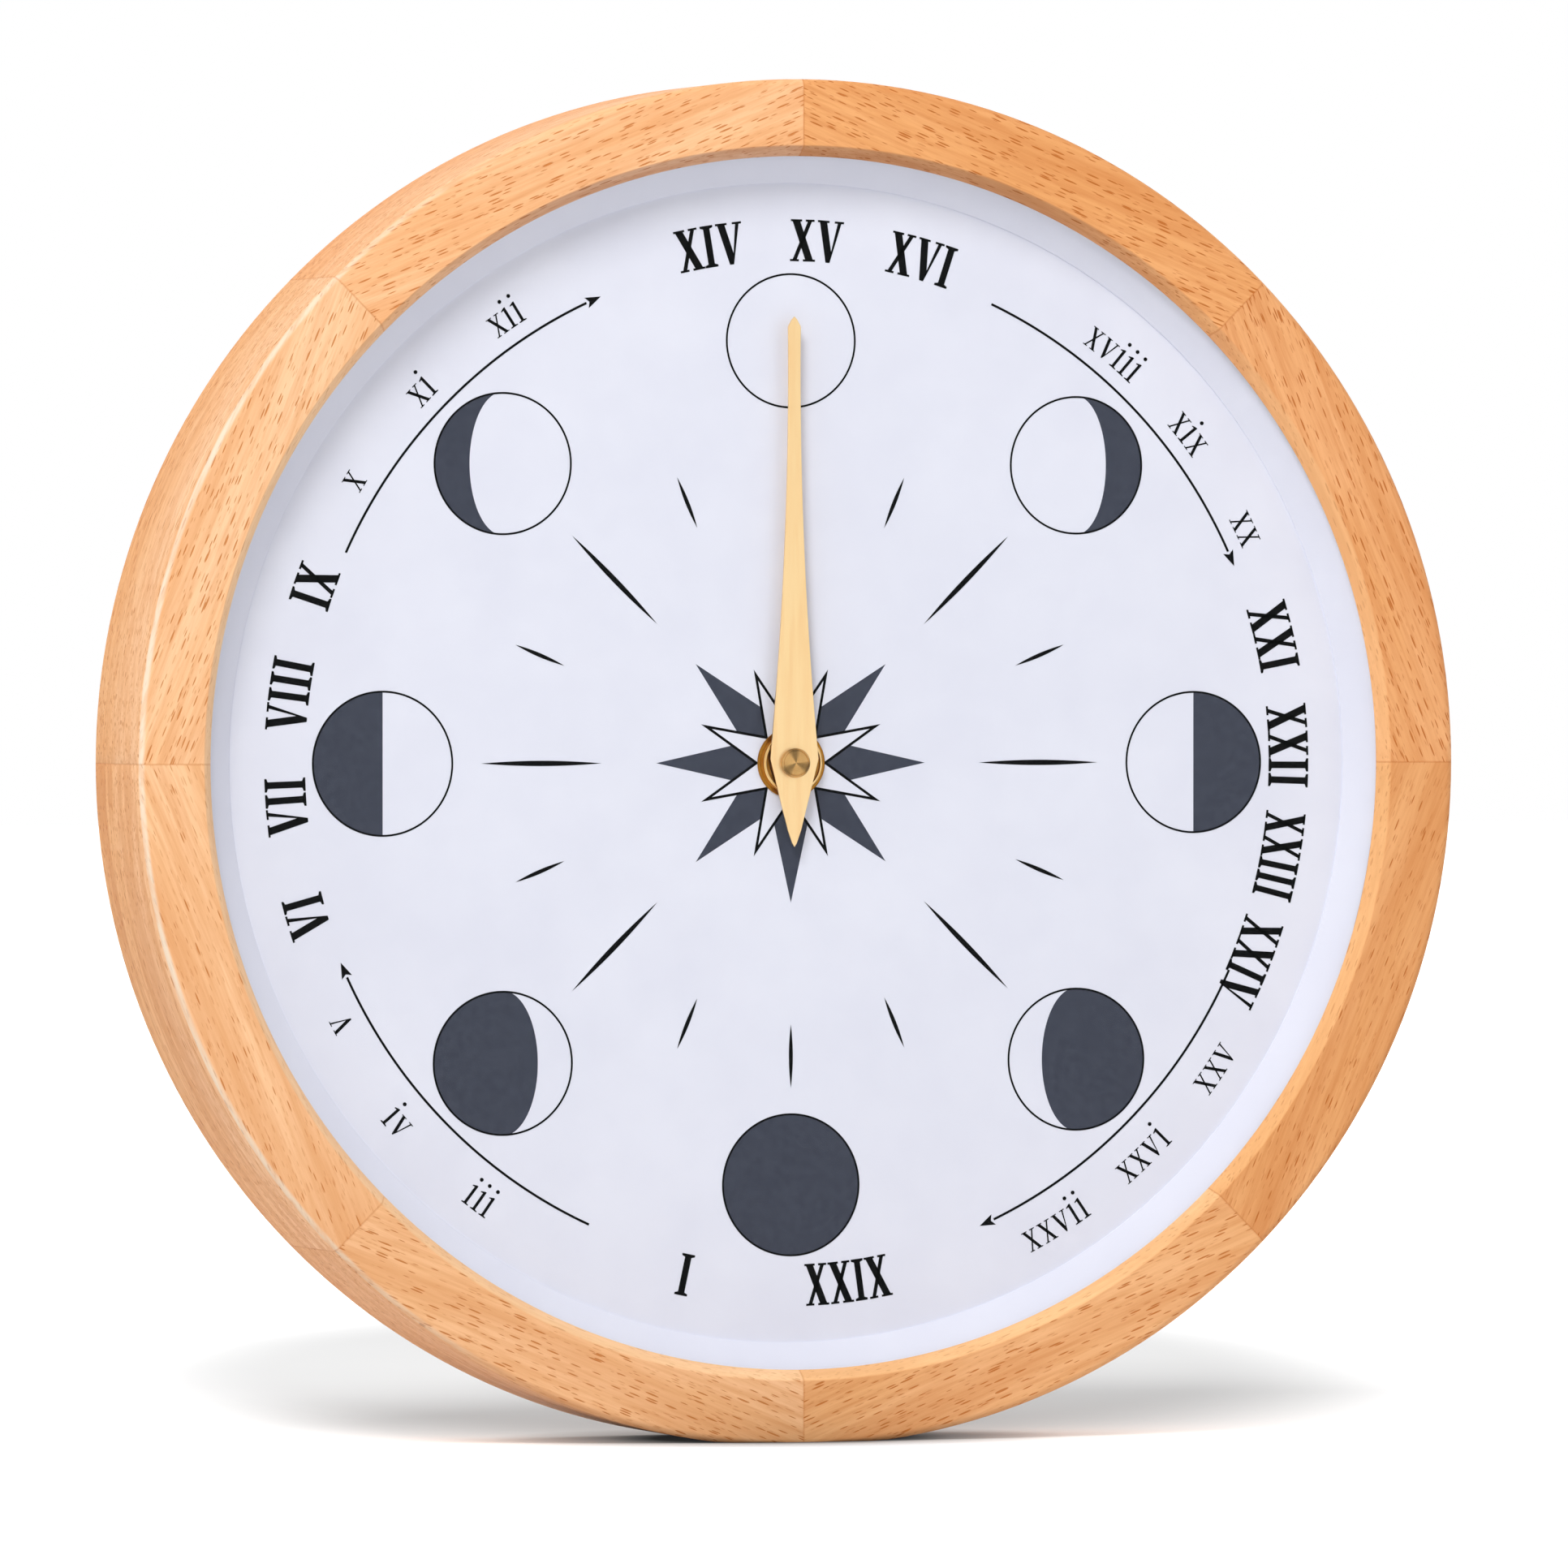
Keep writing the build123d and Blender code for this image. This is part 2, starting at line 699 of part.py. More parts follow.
def movement_case():
    """Moulded tray: gear room above, battery bay below, posts, bearings and the bush's seat."""
    case = slab(case_outline(), case_front, case_back)
    room_height = case_width / 2 - case_wall - gear_room_bottom
    room_place = (0, gear_room_bottom + room_height / 2)
    case -= block(2 * room_half_width, room_height, floor_back, case_back, room_place)
    bay_place = (0, cell_centre_height)
    case -= block(2 * room_half_width, 2 * bay_half_height, floor_back, case_back, bay_place)
    window_length = cell_length + 2 * cell_clearance
    case -= block(window_length, cell_window_width, case_front, floor_back, bay_place)
    seat_height = case_width / 2 - cover_bottom
    case -= block(case_width, seat_height, cover_front, case_back, (0, cover_bottom + seat_height / 2))
    case -= rod(bush_diameter + 2 * fit_clearance, case_front, floor_back)
    bearing_floor = floor_back - pivot_length - pivot_end_gap
    for axis in [second_axis, third_axis, rotor_axis, setting_axis]:
        case -= rod(pivot_diameter + 2 * bearing_clearance, bearing_floor, floor_back, axis)
    for height in stator_arm_heights():
        case += pegged_post((coil_axis[0], height), core_front, stator_front + stator_thickness + peg_stand)
    for place in circuit_corner_posts():
        case += pegged_post(place, circuit_front, circuit_back + peg_stand)
    notch_depth = circuit_back + contact_thickness - contact_strip_width - contact_gap
    notch_width = contact_thickness + 2 * contact_gap
    for side in [-1, 1]:
        notch_place = (side * (room_half_width - notch_width / 2), bay_top + case_wall / 2)
        case -= block(notch_width, case_wall, notch_depth, case_back, notch_place)
    return case


def movement_cover():
    """Back cover of the gear room, with the rear bearings and the knob's sunk pocket."""
    height = case_width / 2 - cover_bottom - cover_clearance
    trim = Pos(0, cover_bottom + cover_clearance + height / 2) * Rectangle(case_width, height)
    cover = slab(case_outline() & trim, cover_front, case_back)
    cup_diameter = knob_pocket_diameter + 2 * knob_pocket_wall
    cover += rod(cup_diameter, pocket_floor_front, case_back, setting_axis)
    cover -= rod(knob_pocket_diameter, pocket_floor_front + knob_pocket_wall, case_back, setting_axis)
    arbor_hole = setting_arbor_diameter + 2 * bearing_clearance
    cover -= rod(arbor_hole, pocket_floor_front, case_back, setting_axis)
    bearing_back = cover_front + pivot_length + pivot_end_gap
    for axis in [moon_axis, second_axis, third_axis, rotor_axis]:
        cover -= rod(pivot_diameter + 2 * bearing_clearance, cover_front, bearing_back, axis)
    return cover


def save(name, shape):
    """Stand the piece in its place over the rest flat and write it out."""
    placed = Pos(0, -ring_depth / 2, centre_height) * shape
    export_step(placed, f"parts/{name}.step")


for number, segment in enumerate(frame_segments(), start=1):
    save(f"frame_segment_{number}", segment)
save("glass_lens", glass_lens())
save("dial_flange_ring", dial_flange_ring())
save("dial_plate", dial_plate())
save("backing_board", backing_board())
save("board_screws", board_screws())
save("brass_washer", washer(brass_washer_diameter, washer_front, dial_front))
save("rubber_washer", washer(rubber_washer_diameter, board_back, case_front))
save("threaded_bush", threaded_bush())
save("bush_nut", bush_nut())
save("moon_hand", moon_hand())
save("cap_nut", cap_nut())
save("moon_wheel", moon_wheel())
save("second_wheel", second_wheel())
save("third_wheel", third_wheel())
save("rotor", rotor())
save("rotor_magnet", rotor_magnet())
save("stator", stator())
save("coil_core", coil_core())
save("coil_bobbin", coil_bobbin())
save("coil_winding", coil_winding())
save("circuit_board", circuit_board())
save("quartz_crystal", quartz_crystal())
save("battery_cell", battery_cell())
save("contact_negative", battery_contact(-1))
save("contact_positive", battery_contact(1))
save("setting_wheel", setting_wheel())
save("setting_knob", setting_knob())
save("movement_case", movement_case())
save("movement_cover", movement_cover())
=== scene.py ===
import math

import bmesh
import bpy
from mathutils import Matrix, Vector


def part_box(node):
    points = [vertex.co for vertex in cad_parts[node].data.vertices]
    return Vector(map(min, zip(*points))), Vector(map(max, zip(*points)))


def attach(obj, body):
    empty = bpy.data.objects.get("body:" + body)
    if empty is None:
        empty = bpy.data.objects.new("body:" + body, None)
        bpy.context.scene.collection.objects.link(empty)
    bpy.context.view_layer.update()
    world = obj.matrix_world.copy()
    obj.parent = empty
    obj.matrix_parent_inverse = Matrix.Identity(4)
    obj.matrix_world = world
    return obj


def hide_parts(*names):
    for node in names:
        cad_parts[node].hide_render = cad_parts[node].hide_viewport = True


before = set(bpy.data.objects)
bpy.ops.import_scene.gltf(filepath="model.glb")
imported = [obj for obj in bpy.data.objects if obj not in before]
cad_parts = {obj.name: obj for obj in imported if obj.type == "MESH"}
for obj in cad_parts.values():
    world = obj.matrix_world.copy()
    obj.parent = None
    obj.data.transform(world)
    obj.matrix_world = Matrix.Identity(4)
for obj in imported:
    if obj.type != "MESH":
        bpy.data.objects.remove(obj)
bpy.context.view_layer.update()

MM = 0.001

# Main sizes of the clock in millimetres, in the dial frame: x right, z up, depth back from the
# front face, and the hand's axis at x = z = 0.
ring_radius = 102.5
ring_depth = 28.0
front_edge_radius = 1.2
back_edge_radius = 1.0
board_pocket_radius = 98.0
lens_pocket_radius = 93.5
lip_radius = 91.0
lip_spread = 1.35
lip_depth = 2.5
board_front = 7.5
board_back = 9.9
dial_front = 7.0
centre_height = 101.735
segment_count = 8


def place(x, depth, z):
    """A place in the dial frame, as a place in the row frame in metres."""
    return Vector((x * MM, (depth - ring_depth / 2) * MM, (z + centre_height) * MM))


def clock_point(radius, turn):
    """The (x, z) of a radius at a clockwise turn in degrees from the top of the dial."""
    angle = math.radians(turn)
    return (radius * math.sin(angle), radius * math.cos(angle))


def linear(red, green, blue):
    """An sRGB colour in 0 to 255 as linear values with full alpha."""
    values = []
    for channel in (red, green, blue):
        share = channel / 255
        values.append(share / 12.92 if share <= 0.04045 else ((share + 0.055) / 1.055) ** 2.4)
    return (*values, 1.0)


# Materials

empty_cell_share = 0.3
fleck_sharpness = 12.0


class Shader:
    """A material whose nodes are added one by one."""

    def __init__(self, name, roughness=0.5, metallic=0.0):
        self.material = bpy.data.materials.new(name)
        self.material.use_nodes = True
        self.tree = self.material.node_tree
        self.surface = self.tree.nodes["Principled BSDF"]
        self.surface.inputs["Roughness"].default_value = roughness
        self.surface.inputs["Metallic"].default_value = metallic
        self.coordinates = self.add("ShaderNodeTexCoord").outputs["Object"]

    def add(self, kind, **settings):
        node = self.tree.nodes.new(kind)
        for name, value in settings.items():
            setattr(node, name, value)
        return node

    def link(self, source, target):
        self.tree.links.new(source, target)

    def mapped(self, scale, rotation=(0, 0, 0), location=(0, 0, 0), source=None):
        """Object coordinates turned and scaled; scale is in repeats per metre."""
        turn = self.add("ShaderNodeMapping", vector_type="TEXTURE")
        turn.inputs["Rotation"].default_value = rotation
        self.link(source or self.coordinates, turn.inputs["Vector"])
        stretch = self.add("ShaderNodeMapping")
        stretch.inputs["Scale"].default_value = scale
        stretch.inputs["Location"].default_value = location
        self.link(turn.outputs["Vector"], stretch.inputs["Vector"])
        return stretch.outputs["Vector"]

    def noise(self, vector, scale=1.0, detail=2.0, roughness=0.5, distortion=0.0):
        node = self.add("ShaderNodeTexNoise")
        node.inputs["Scale"].default_value = scale
        node.inputs["Detail"].default_value = detail
        node.inputs["Roughness"].default_value = roughness
        node.inputs["Distortion"].default_value = distortion
        self.link(vector, node.inputs["Vector"])
        return node.outputs["Fac"]

    def ramp(self, value, stops):
        """A colour ramp; stops are (position, colour) pairs."""
        node = self.add("ShaderNodeValToRGB")
        elements = node.color_ramp.elements
        while len(elements) < len(stops):
            elements.new(0.5)
        for element, (position, color) in zip(elements, stops):
            element.position = position
            element.color = color if isinstance(color, tuple) else (color, color, color, 1)
        self.link(value, node.inputs["Fac"])
        return node.outputs["Color"]

    def math(self, operation, first, second=None):
        node = self.add("ShaderNodeMath", operation=operation)
        for index, value in enumerate((first, second)):
            if value is None:
                continue
            if isinstance(value, (int, float)):
                node.inputs[index].default_value = value
            else:
                self.link(value, node.inputs[index])
        return node.outputs["Value"]

    def smooth_range(self, value, start, end, low=0.0, high=1.0):
        """Runs softly from low at start to high at end, and stays there outside them."""
        node = self.add("ShaderNodeMapRange", interpolation_type="SMOOTHSTEP")
        for socket, number in (("From Min", start), ("From Max", end), ("To Min", low), ("To Max", high)):
            node.inputs[socket].default_value = number
        self.link(value, node.inputs["Value"])
        return node.outputs["Result"]

    def mix(self, factor, first, second, blend="MIX"):
        node = self.add("ShaderNodeMix", data_type="RGBA", blend_type=blend)
        # Sockets 6 and 7 are the two colours
        sockets = node.inputs[0], node.inputs[6], node.inputs[7]
        for socket, value in zip(sockets, (factor, first, second)):
            if isinstance(value, (int, float, tuple)):
                socket.default_value = value
            else:
                self.link(value, socket)
        return node.outputs[2]

    def flecks(self, scale, rotation, location, least, spread):
        """Mask of short strokes, one in most cells, whose sizes vary by chance. least and spread are the
        shortest reach and the share that varies, in cells."""
        cells = self.add("ShaderNodeTexVoronoi", feature="F1")
        cells.inputs["Scale"].default_value = 1.0
        cells.inputs["Randomness"].default_value = 1.0
        self.link(self.mapped(scale, rotation, location), cells.inputs["Vector"])
        chosen = self.add("ShaderNodeSeparateColor")
        self.link(cells.outputs["Color"], chosen.inputs["Color"])
        shown = self.math("GREATER_THAN", chosen.outputs["Green"], empty_cell_share)
        reach = self.math("ADD", self.math("MULTIPLY", chosen.outputs["Red"], spread), least)
        reach = self.math("MULTIPLY", reach, shown)
        depth = self.math("SUBTRACT", reach, cells.outputs["Distance"])
        return self.ramp(self.math("MULTIPLY", depth, fleck_sharpness), [(0.0, 0.0), (1.0, 1.0)])

    def round_axis(self, centre):
        """Distance in metres from an axis that runs back through centre, and the turn about it."""
        offset = self.add("ShaderNodeVectorMath", operation="SUBTRACT")
        offset.inputs[1].default_value = centre
        self.link(self.coordinates, offset.inputs[0])
        flat = self.add("ShaderNodeVectorMath", operation="MULTIPLY")
        flat.inputs[1].default_value = (1, 0, 1)
        self.link(offset.outputs["Vector"], flat.inputs[0])
        length = self.add("ShaderNodeVectorMath", operation="LENGTH")
        self.link(flat.outputs["Vector"], length.inputs[0])
        parts = self.add("ShaderNodeSeparateXYZ")
        self.link(flat.outputs["Vector"], parts.inputs["Vector"])
        return length.outputs["Value"], self.math("ARCTAN2", parts.outputs["X"], parts.outputs["Z"])

    def paint(self, color):
        self.link(color, self.surface.inputs["Base Color"])

    def rough(self, value):
        self.link(value, self.surface.inputs["Roughness"])

    def bump(self, height, distance, strength=1.0):
        node = self.add("ShaderNodeBump")
        node.inputs["Distance"].default_value = distance
        node.inputs["Strength"].default_value = strength
        self.link(height, node.inputs["Height"])
        self.link(node.outputs["Normal"], self.surface.inputs["Normal"])


strong_fleck_share = 0.85
faint_fleck_share = 0.36
# Painted light on the lip: a paler lower part and a darker, shaded top
lip_pale_and_lit_share = 0.45
lip_top_painted_shade = linear(222, 226, 245)
# Painted shade on the outside wall, deeper towards its back
wall_painted_shade = linear(247, 232, 206)
# Painted highlight on the eased corner at the left
arris_highlight_share = 0.8
arris_highlight_color = linear(238, 224, 203)
glue_share = 0.30


def beech(name, chord_turn, tone, seed, band_share):
    """Oiled beech with its grain along a chord of the ring. chord_turn is the chord's slope in degrees,
    clockwise from level. tone is the sRGB ground colour. band_share is how strong the growth bands are."""
    shader = Shader(name, roughness=0.5)
    shader.surface.inputs["Specular IOR Level"].default_value = 0.08
    rotation = (0, math.radians(chord_turn), 0)
    shift = (seed * 3.1, seed * 1.7, seed * 2.3)
    ground = linear(*tone)
    dark = linear(tone[0] * 0.90, tone[1] * 0.80, tone[2] * 0.70)
    light = linear(min(tone[0] * 1.03, 255), min(tone[1] * 1.06, 250), min(tone[2] * 1.12, 240))
    fleck_color = linear(tone[0] * 0.80, tone[1] * 0.62, tone[2] * 0.40)
    # The lip's paler cut wood, laid on more strongly low down as painted light
    cream = linear(min(tone[0] * 1.05, 253), min(tone[1] * 1.16, 222), min(tone[2] * 1.26, 180))

    cloud = shader.noise(shader.mapped((25, 160, 160), rotation, shift), detail=3.0)
    color = shader.mix(shader.ramp(cloud, [(0.35, 0.0), (0.65, 1.0)]), light, ground)
    bands = shader.noise(shader.mapped((5, 380, 150), rotation, shift), detail=2.0, distortion=0.15)
    band_mask = shader.ramp(bands, [(0.45, 0.0), (0.60, 1.0)])
    color = shader.mix(shader.math("MULTIPLY", band_mask, band_share), color, dark)
    streaks = shader.noise(shader.mapped((45, 900, 900), rotation, shift), detail=3.0, roughness=0.6)
    color = shader.mix(shader.ramp(streaks, [(0.42, 0.0), (0.70, 0.55)]), color, dark)
    fibre = shader.noise(shader.mapped((140, 2600, 2600), rotation, shift), detail=3.0, roughness=0.6)
    color = shader.mix(shader.ramp(fibre, [(0.45, 0.0), (0.75, 0.45)]), color, dark)

    strong = shader.flecks((300, 2000, 2700), rotation, shift, 0.14, 0.26)
    faint = shader.flecks((380, 2300, 2900), rotation, (shift[1], shift[2], shift[0]), 0.14, 0.22)
    strong = shader.math("MULTIPLY", strong, strong_fleck_share)
    faint = shader.math("MULTIPLY", faint, faint_fleck_share)
    fleck = shader.math("MAXIMUM", strong, faint)
    color = shader.mix(fleck, color, fleck_color)

    radius, turn = shader.round_axis(place(0, 0, 0))
    where = shader.add("ShaderNodeSeparateXYZ")
    shader.link(shader.coordinates, where.inputs["Vector"])
    across, depth, height = (where.outputs[name] for name in "XYZ")
    front = place(0, 0, 0).y
    # The splayed lip is paler from the shoulders down, partly its lighter cut wood and partly painted
    # light where it faces up towards the lamps; its darker top is painted shade
    lip_edge = lip_radius + lip_spread
    lip = shader.smooth_range(radius, (lip_edge + 0.35) * MM, (lip_edge - 0.05) * MM)
    low = shader.smooth_range(height, place(0, 0, 85).z, place(0, 0, 40).z, 0.0, lip_pale_and_lit_share)
    color = shader.mix(shader.math("MULTIPLY", lip, low), color, cream)
    high = shader.smooth_range(height, place(0, 0, 55).z, place(0, 0, 90).z)
    color = shader.mix(shader.math("MULTIPLY", lip, high), color, lip_top_painted_shade, "MULTIPLY")
    # Painted shade: the outside wall is darkened towards its back, fading out towards the front
    outside = shader.smooth_range(radius, (ring_radius - 0.7) * MM, (ring_radius - 0.05) * MM)
    deep = shader.smooth_range(depth, front + 3 * MM, front + 25 * MM)
    color = shader.mix(shader.math("MULTIPLY", outside, deep), color, wall_painted_shade, "MULTIPLY")
    # A highlight is painted on the eased corner on the left, where the light falls on it, broken up by the
    # streaks
    corner = shader.smooth_range(radius, (ring_radius - 1.0) * MM, (ring_radius - 0.5) * MM)
    eased = shader.smooth_range(depth, front + 1.0 * MM, front + 0.5 * MM)
    left = shader.smooth_range(across, -30 * MM, -95 * MM, 0.0, arris_highlight_share)
    arris_highlight = shader.math("MULTIPLY", shader.math("MULTIPLY", corner, eased), left)
    arris_highlight = shader.math("MULTIPLY", arris_highlight, shader.smooth_range(streaks, 0.62, 0.42, 0.55, 1.0))
    color = shader.mix(arris_highlight, color, arris_highlight_color)
    # A thin glue line shows at each mitre
    from_mitre = shader.math("PINGPONG", turn, math.pi / segment_count)
    from_mitre = shader.math("MULTIPLY", from_mitre, radius)
    glue = shader.smooth_range(from_mitre, 0.22 * MM, 0.06 * MM, 0.0, glue_share)
    color = shader.mix(glue, color, fleck_color)
    shader.paint(color)
    shader.rough(shader.ramp(fibre, [(0.3, 0.42), (0.8, 0.56)]))
    relief = shader.math("SUBTRACT", shader.math("MULTIPLY", fibre, 0.35), fleck)
    shader.bump(relief, 0.00004, 0.6)
    return shader.material


def mottled(name, tone, shade, scale, roughness, bump=0.0, metallic=0.0, bump_scale=None, gloss=0.5):
    """A plain finish with soft cloudy variation between two sRGB colours."""
    shader = Shader(name, roughness=roughness, metallic=metallic)
    shader.surface.inputs["Specular IOR Level"].default_value = gloss
    cloud = shader.noise(shader.mapped((scale, scale, scale)), detail=4.0, roughness=0.6)
    shader.paint(shader.ramp(cloud, [(0.35, linear(*tone)), (0.68, linear(*shade))]))
    if bump:
        grain_scale = bump_scale or scale * 8
        grain = shader.noise(shader.mapped((grain_scale, grain_scale, grain_scale)), detail=3.0)
        shader.bump(grain, bump, 0.7)
    return shader.material


def brushed_metal(name, tone, shade, scale, roughness):
    """Metal with fine straight lines along z."""
    shader = Shader(name, roughness=roughness, metallic=1.0)
    lines = shader.noise(shader.mapped(scale), detail=3.0, roughness=0.6)
    cloud = shader.noise(shader.mapped((120, 120, 60)), detail=2.0)
    color = shader.ramp(lines, [(0.3, linear(*shade)), (0.6, linear(*tone))])
    cloudy = shader.mix(shader.ramp(cloud, [(0.4, 0.0), (0.7, 0.5)]), color, linear(*tone))
    shader.paint(cloudy)
    shader.bump(lines, 0.000004, 0.5)
    return shader.material


# Painted reflection wedges on turned metal: how many round the axis, and how far they are turned
reflection_wedge_count = 3.0
reflection_wedge_turn = 0.15


def turned_metal(name, tone, shade, centre, roughness, ring_pitch, reflection_wedges=0.0):
    """Metal turned on a lathe about the hand's axis, with fine rings in its face. The last argument is how
    strongly a painted reflection varies round the axis, in soft dark and bright wedges."""
    shader = Shader(name, roughness=roughness, metallic=1.0)
    shader.surface.inputs["Anisotropic"].default_value = 0.6
    tangent = shader.add("ShaderNodeTangent", direction_type="RADIAL", axis="Y")
    shader.link(tangent.outputs["Tangent"], shader.surface.inputs["Tangent"])
    radius, turn = shader.round_axis(centre)
    rings = shader.math("SINE", shader.math("MULTIPLY", radius, 2 * math.pi / ring_pitch))
    cloud = shader.noise(shader.mapped((500, 500, 500)), detail=2.0)
    wear = shader.math("ADD", shader.math("MULTIPLY", rings, 0.15), cloud)
    color = shader.ramp(wear, [(0.3, linear(*shade)), (0.7, linear(*tone))])
    # Painted reflection: soft dark and bright wedges fixed round the axis
    if reflection_wedges:
        wave = shader.math("MULTIPLY", shader.math("ADD", turn, reflection_wedge_turn), reflection_wedge_count)
        swing = shader.math("MULTIPLY", shader.math("COSINE", wave), 0.5)
        painted_reflection = shader.ramp(shader.math("ADD", swing, 0.5), [(0.45, 0.0), (0.95, reflection_wedges)])
        color = shader.mix(painted_reflection, color, linear(*(channel * 0.62 for channel in shade)))
    shader.paint(color)
    shader.bump(rings, 0.000003, 0.5)
    return shader.material


# Meshes


def new_piece(name, mesh, material, body, replaced=()):
    piece = bpy.data.objects.new(name, mesh)
    bpy.context.scene.collection.objects.link(piece)
    piece.data.materials.append(material)
    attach(piece, body)
    if replaced:
        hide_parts(*replaced)
    return piece


def shade_by_angle(mesh, degrees=35):
    """Smooth shading, with the edges sharper than an angle kept hard."""
    for polygon in mesh.polygons:
        polygon.use_smooth = True
    mesh.set_sharp_from_angle(angle=math.radians(degrees))


def mesh_from(name, vertices, faces):
    mesh = bpy.data.meshes.new(name)
    mesh.from_pydata([tuple(vertex) for vertex in vertices], [], faces)
    work = bmesh.new()
    work.from_mesh(mesh)
    bmesh.ops.remove_doubles(work, verts=work.verts, dist=1e-8)
    bmesh.ops.recalc_face_normals(work, faces=work.faces)
    work.to_mesh(mesh)
    work.free()
    mesh.validate()
    return mesh


def turned_mesh(name, section, steps=128, axis=(0.0, 0.0)):
    """A closed section of (radius, depth) points, turned right round an axis."""
    vertices = []
    faces = []
    count = len(section)
    for step in range(steps):
        angle = 2 * math.pi * step / steps
        for radius, depth in section:
            x = axis[0] + radius * math.sin(angle)
            z = axis[1] + radius * math.cos(angle)
            vertices.append(place(x, depth, z))
    for step in range(steps):
        after = (step + 1) % steps
        for index in range(count):
            beside = (index + 1) % count
            faces.append((
                step * count + index,
                step * count + beside,
                after * count + beside,
                after * count + index,
            ))
    return mesh_from(name, vertices, faces)


def corner_arc(centre, radius, first, last, steps):
    """Points of a rounding in a (radius, depth) section, with angles in degrees."""
    points = []
    for step in range(steps + 1):
        angle = math.radians(first + (last - first) * step / steps)
        points.append((centre[0] + radius * math.cos(angle), centre[1] + radius * math.sin(angle)))
    return points


# Beech ring: eight mitred segments

softened = 0.25
rim_section = [
    (lip_radius + lip_spread + softened, 0.0),
    *corner_arc((ring_radius - front_edge_radius, front_edge_radius), front_edge_radius, -90, 0, 8),
    *corner_arc(
        (ring_radius - back_edge_radius, ring_depth - back_edge_radius), back_edge_radius, 0, 90, 5,
    ),
    (board_pocket_radius + softened, ring_depth),
    (board_pocket_radius, ring_depth - softened),
    (board_pocket_radius, board_front),
    (lens_pocket_radius, board_front),
    (lens_pocket_radius, lip_depth),
    (lip_radius, lip_depth),
    (lip_radius + lip_spread - softened / 2, softened),
]
mitre_inset = 0.045
mitre_depth = 0.10


def rim_point(radius, depth, turn):
    """A point of the ring, kept above the flat that the clock rests on."""
    x, z = clock_point(radius, turn)
    return place(x, depth, max(z, -centre_height))


def shrunk_section(amount):
    """The ring's section drawn in by an amount, towards its own middle line."""
    middle = (ring_radius + lip_radius) / 2
    drawn = []
    for radius, depth in rim_section:
        inward = amount if radius < middle else -amount
        deeper = amount if depth < ring_depth / 2 else -amount
        drawn.append((radius + inward, depth + deeper))
    return drawn


def beech_segment(first_turn):
    """Mesh of one segment between two mitres, each with a hair of a bevel along its edges."""
    span = 360 / segment_count
    steps = 30
    bevel_turn = math.degrees(mitre_inset / ring_radius)
    stations = [(first_turn, shrunk_section(mitre_depth / 4))]
    for step in range(steps + 1):
        turn = first_turn + bevel_turn + (span - 2 * bevel_turn) * step / steps
        stations.append((turn, rim_section))
    stations.append((first_turn + span, shrunk_section(mitre_depth / 4)))
    vertices = []
    faces = []
    count = len(rim_section)
    for turn, section in stations:
        vertices += [rim_point(radius, depth, turn) for radius, depth in section]
    for station in range(len(stations) - 1):
        for index in range(count):
            beside = (index + 1) % count
            first = station * count
            faces.append((first + index, first + beside, first + count + beside, first + count + index))
    faces.append(tuple(range(count)))
    faces.append(tuple(range((len(stations) - 1) * count, len(stations) * count)))
    return mesh_from("beech_segment", vertices, faces)


# Ground colour of each segment as (red, green, blue), clockwise from the top, with its growth bands
segment_tones = [
    ((237, 169, 108), 0.30),
    ((236, 169, 111), 0.45),
    ((232, 166, 107), 0.40),
    ((239, 178, 121), 0.50),
    ((243, 187, 135), 0.35),
    ((249, 195, 144), 0.60),
    ((251, 197, 147), 0.20),
    ((251, 191, 138), 0.25),
]


def cad_segment_at(turn):
    """Name of the CAD segment whose middle lies nearest a clockwise turn from the top."""
    x, z = clock_point(ring_radius, turn)
    target = place(x, ring_depth / 2, z)
    nearest = None
    for number in range(1, segment_count + 1):
        low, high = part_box(f"frame_segment_{number}")
        gap = ((low + high) / 2 - target).length
        if nearest is None or gap < nearest[0]:
            nearest = (gap, f"frame_segment_{number}")
    return nearest[1]


for index, (tone, band_share) in enumerate(segment_tones):
    first_turn = index * 360 / segment_count
    middle_turn = first_turn + 180 / segment_count
    material = beech(f"beech_{index + 1}", middle_turn, tone, index + 1, band_share)
    mesh = beech_segment(first_turn)
    shade_by_angle(mesh, 30)
    replaced = [cad_segment_at(middle_turn)]
    new_piece(f"beech_segment_{index + 1}", mesh, material, "clock", replaced)

# Camera at the photograph's angle: in front, to the left, level with the dial's centre

photo_side = 1932
camera_distance = 2.5
camera_yaw = math.radians(-16.15)
camera_pitch = math.radians(0.5)
focal_pixels = 20560
dial_centre_pixel = (990.4, 940.4)
target = place(0, 0, 0)
outward = Vector((
    math.sin(camera_yaw) * math.cos(camera_pitch),
    -math.cos(camera_yaw) * math.cos(camera_pitch),
    math.sin(camera_pitch),
))
right = Vector((math.cos(camera_yaw), math.sin(camera_yaw), 0))
up = outward.cross(right)
pixel = camera_distance / focal_pixels
aim = target - right * (dial_centre_pixel[0] - photo_side / 2) * pixel
aim += up * (dial_centre_pixel[1] - photo_side / 2) * pixel
camera_data = bpy.data.cameras.new("camera")
camera_data.sensor_width = 36.0
camera_data.lens = focal_pixels / photo_side * camera_data.sensor_width
camera_data.clip_start = 0.01
camera_data.clip_end = 50.0
camera = bpy.data.objects.new("camera", camera_data)
bpy.context.scene.collection.objects.link(camera)
camera.location = aim + outward * camera_distance
camera.rotation_euler = (aim - camera.location).to_track_quat("-Z", "Y").to_euler()
bpy.context.scene.camera = camera

# Floor, world and lamps

floor_lift = 0.05
mirrored_lift = 0.30
floor_tone = (0.80, 0.83)
ambient = 0.335
# The shadow stays inside an ellipse on the floor behind the clock, whose half axes run across and
# along the view
shadow_half_width = 0.115
shadow_half_length = 0.30
shadow_set_back = 0.24
shadow_set_left = 0.006
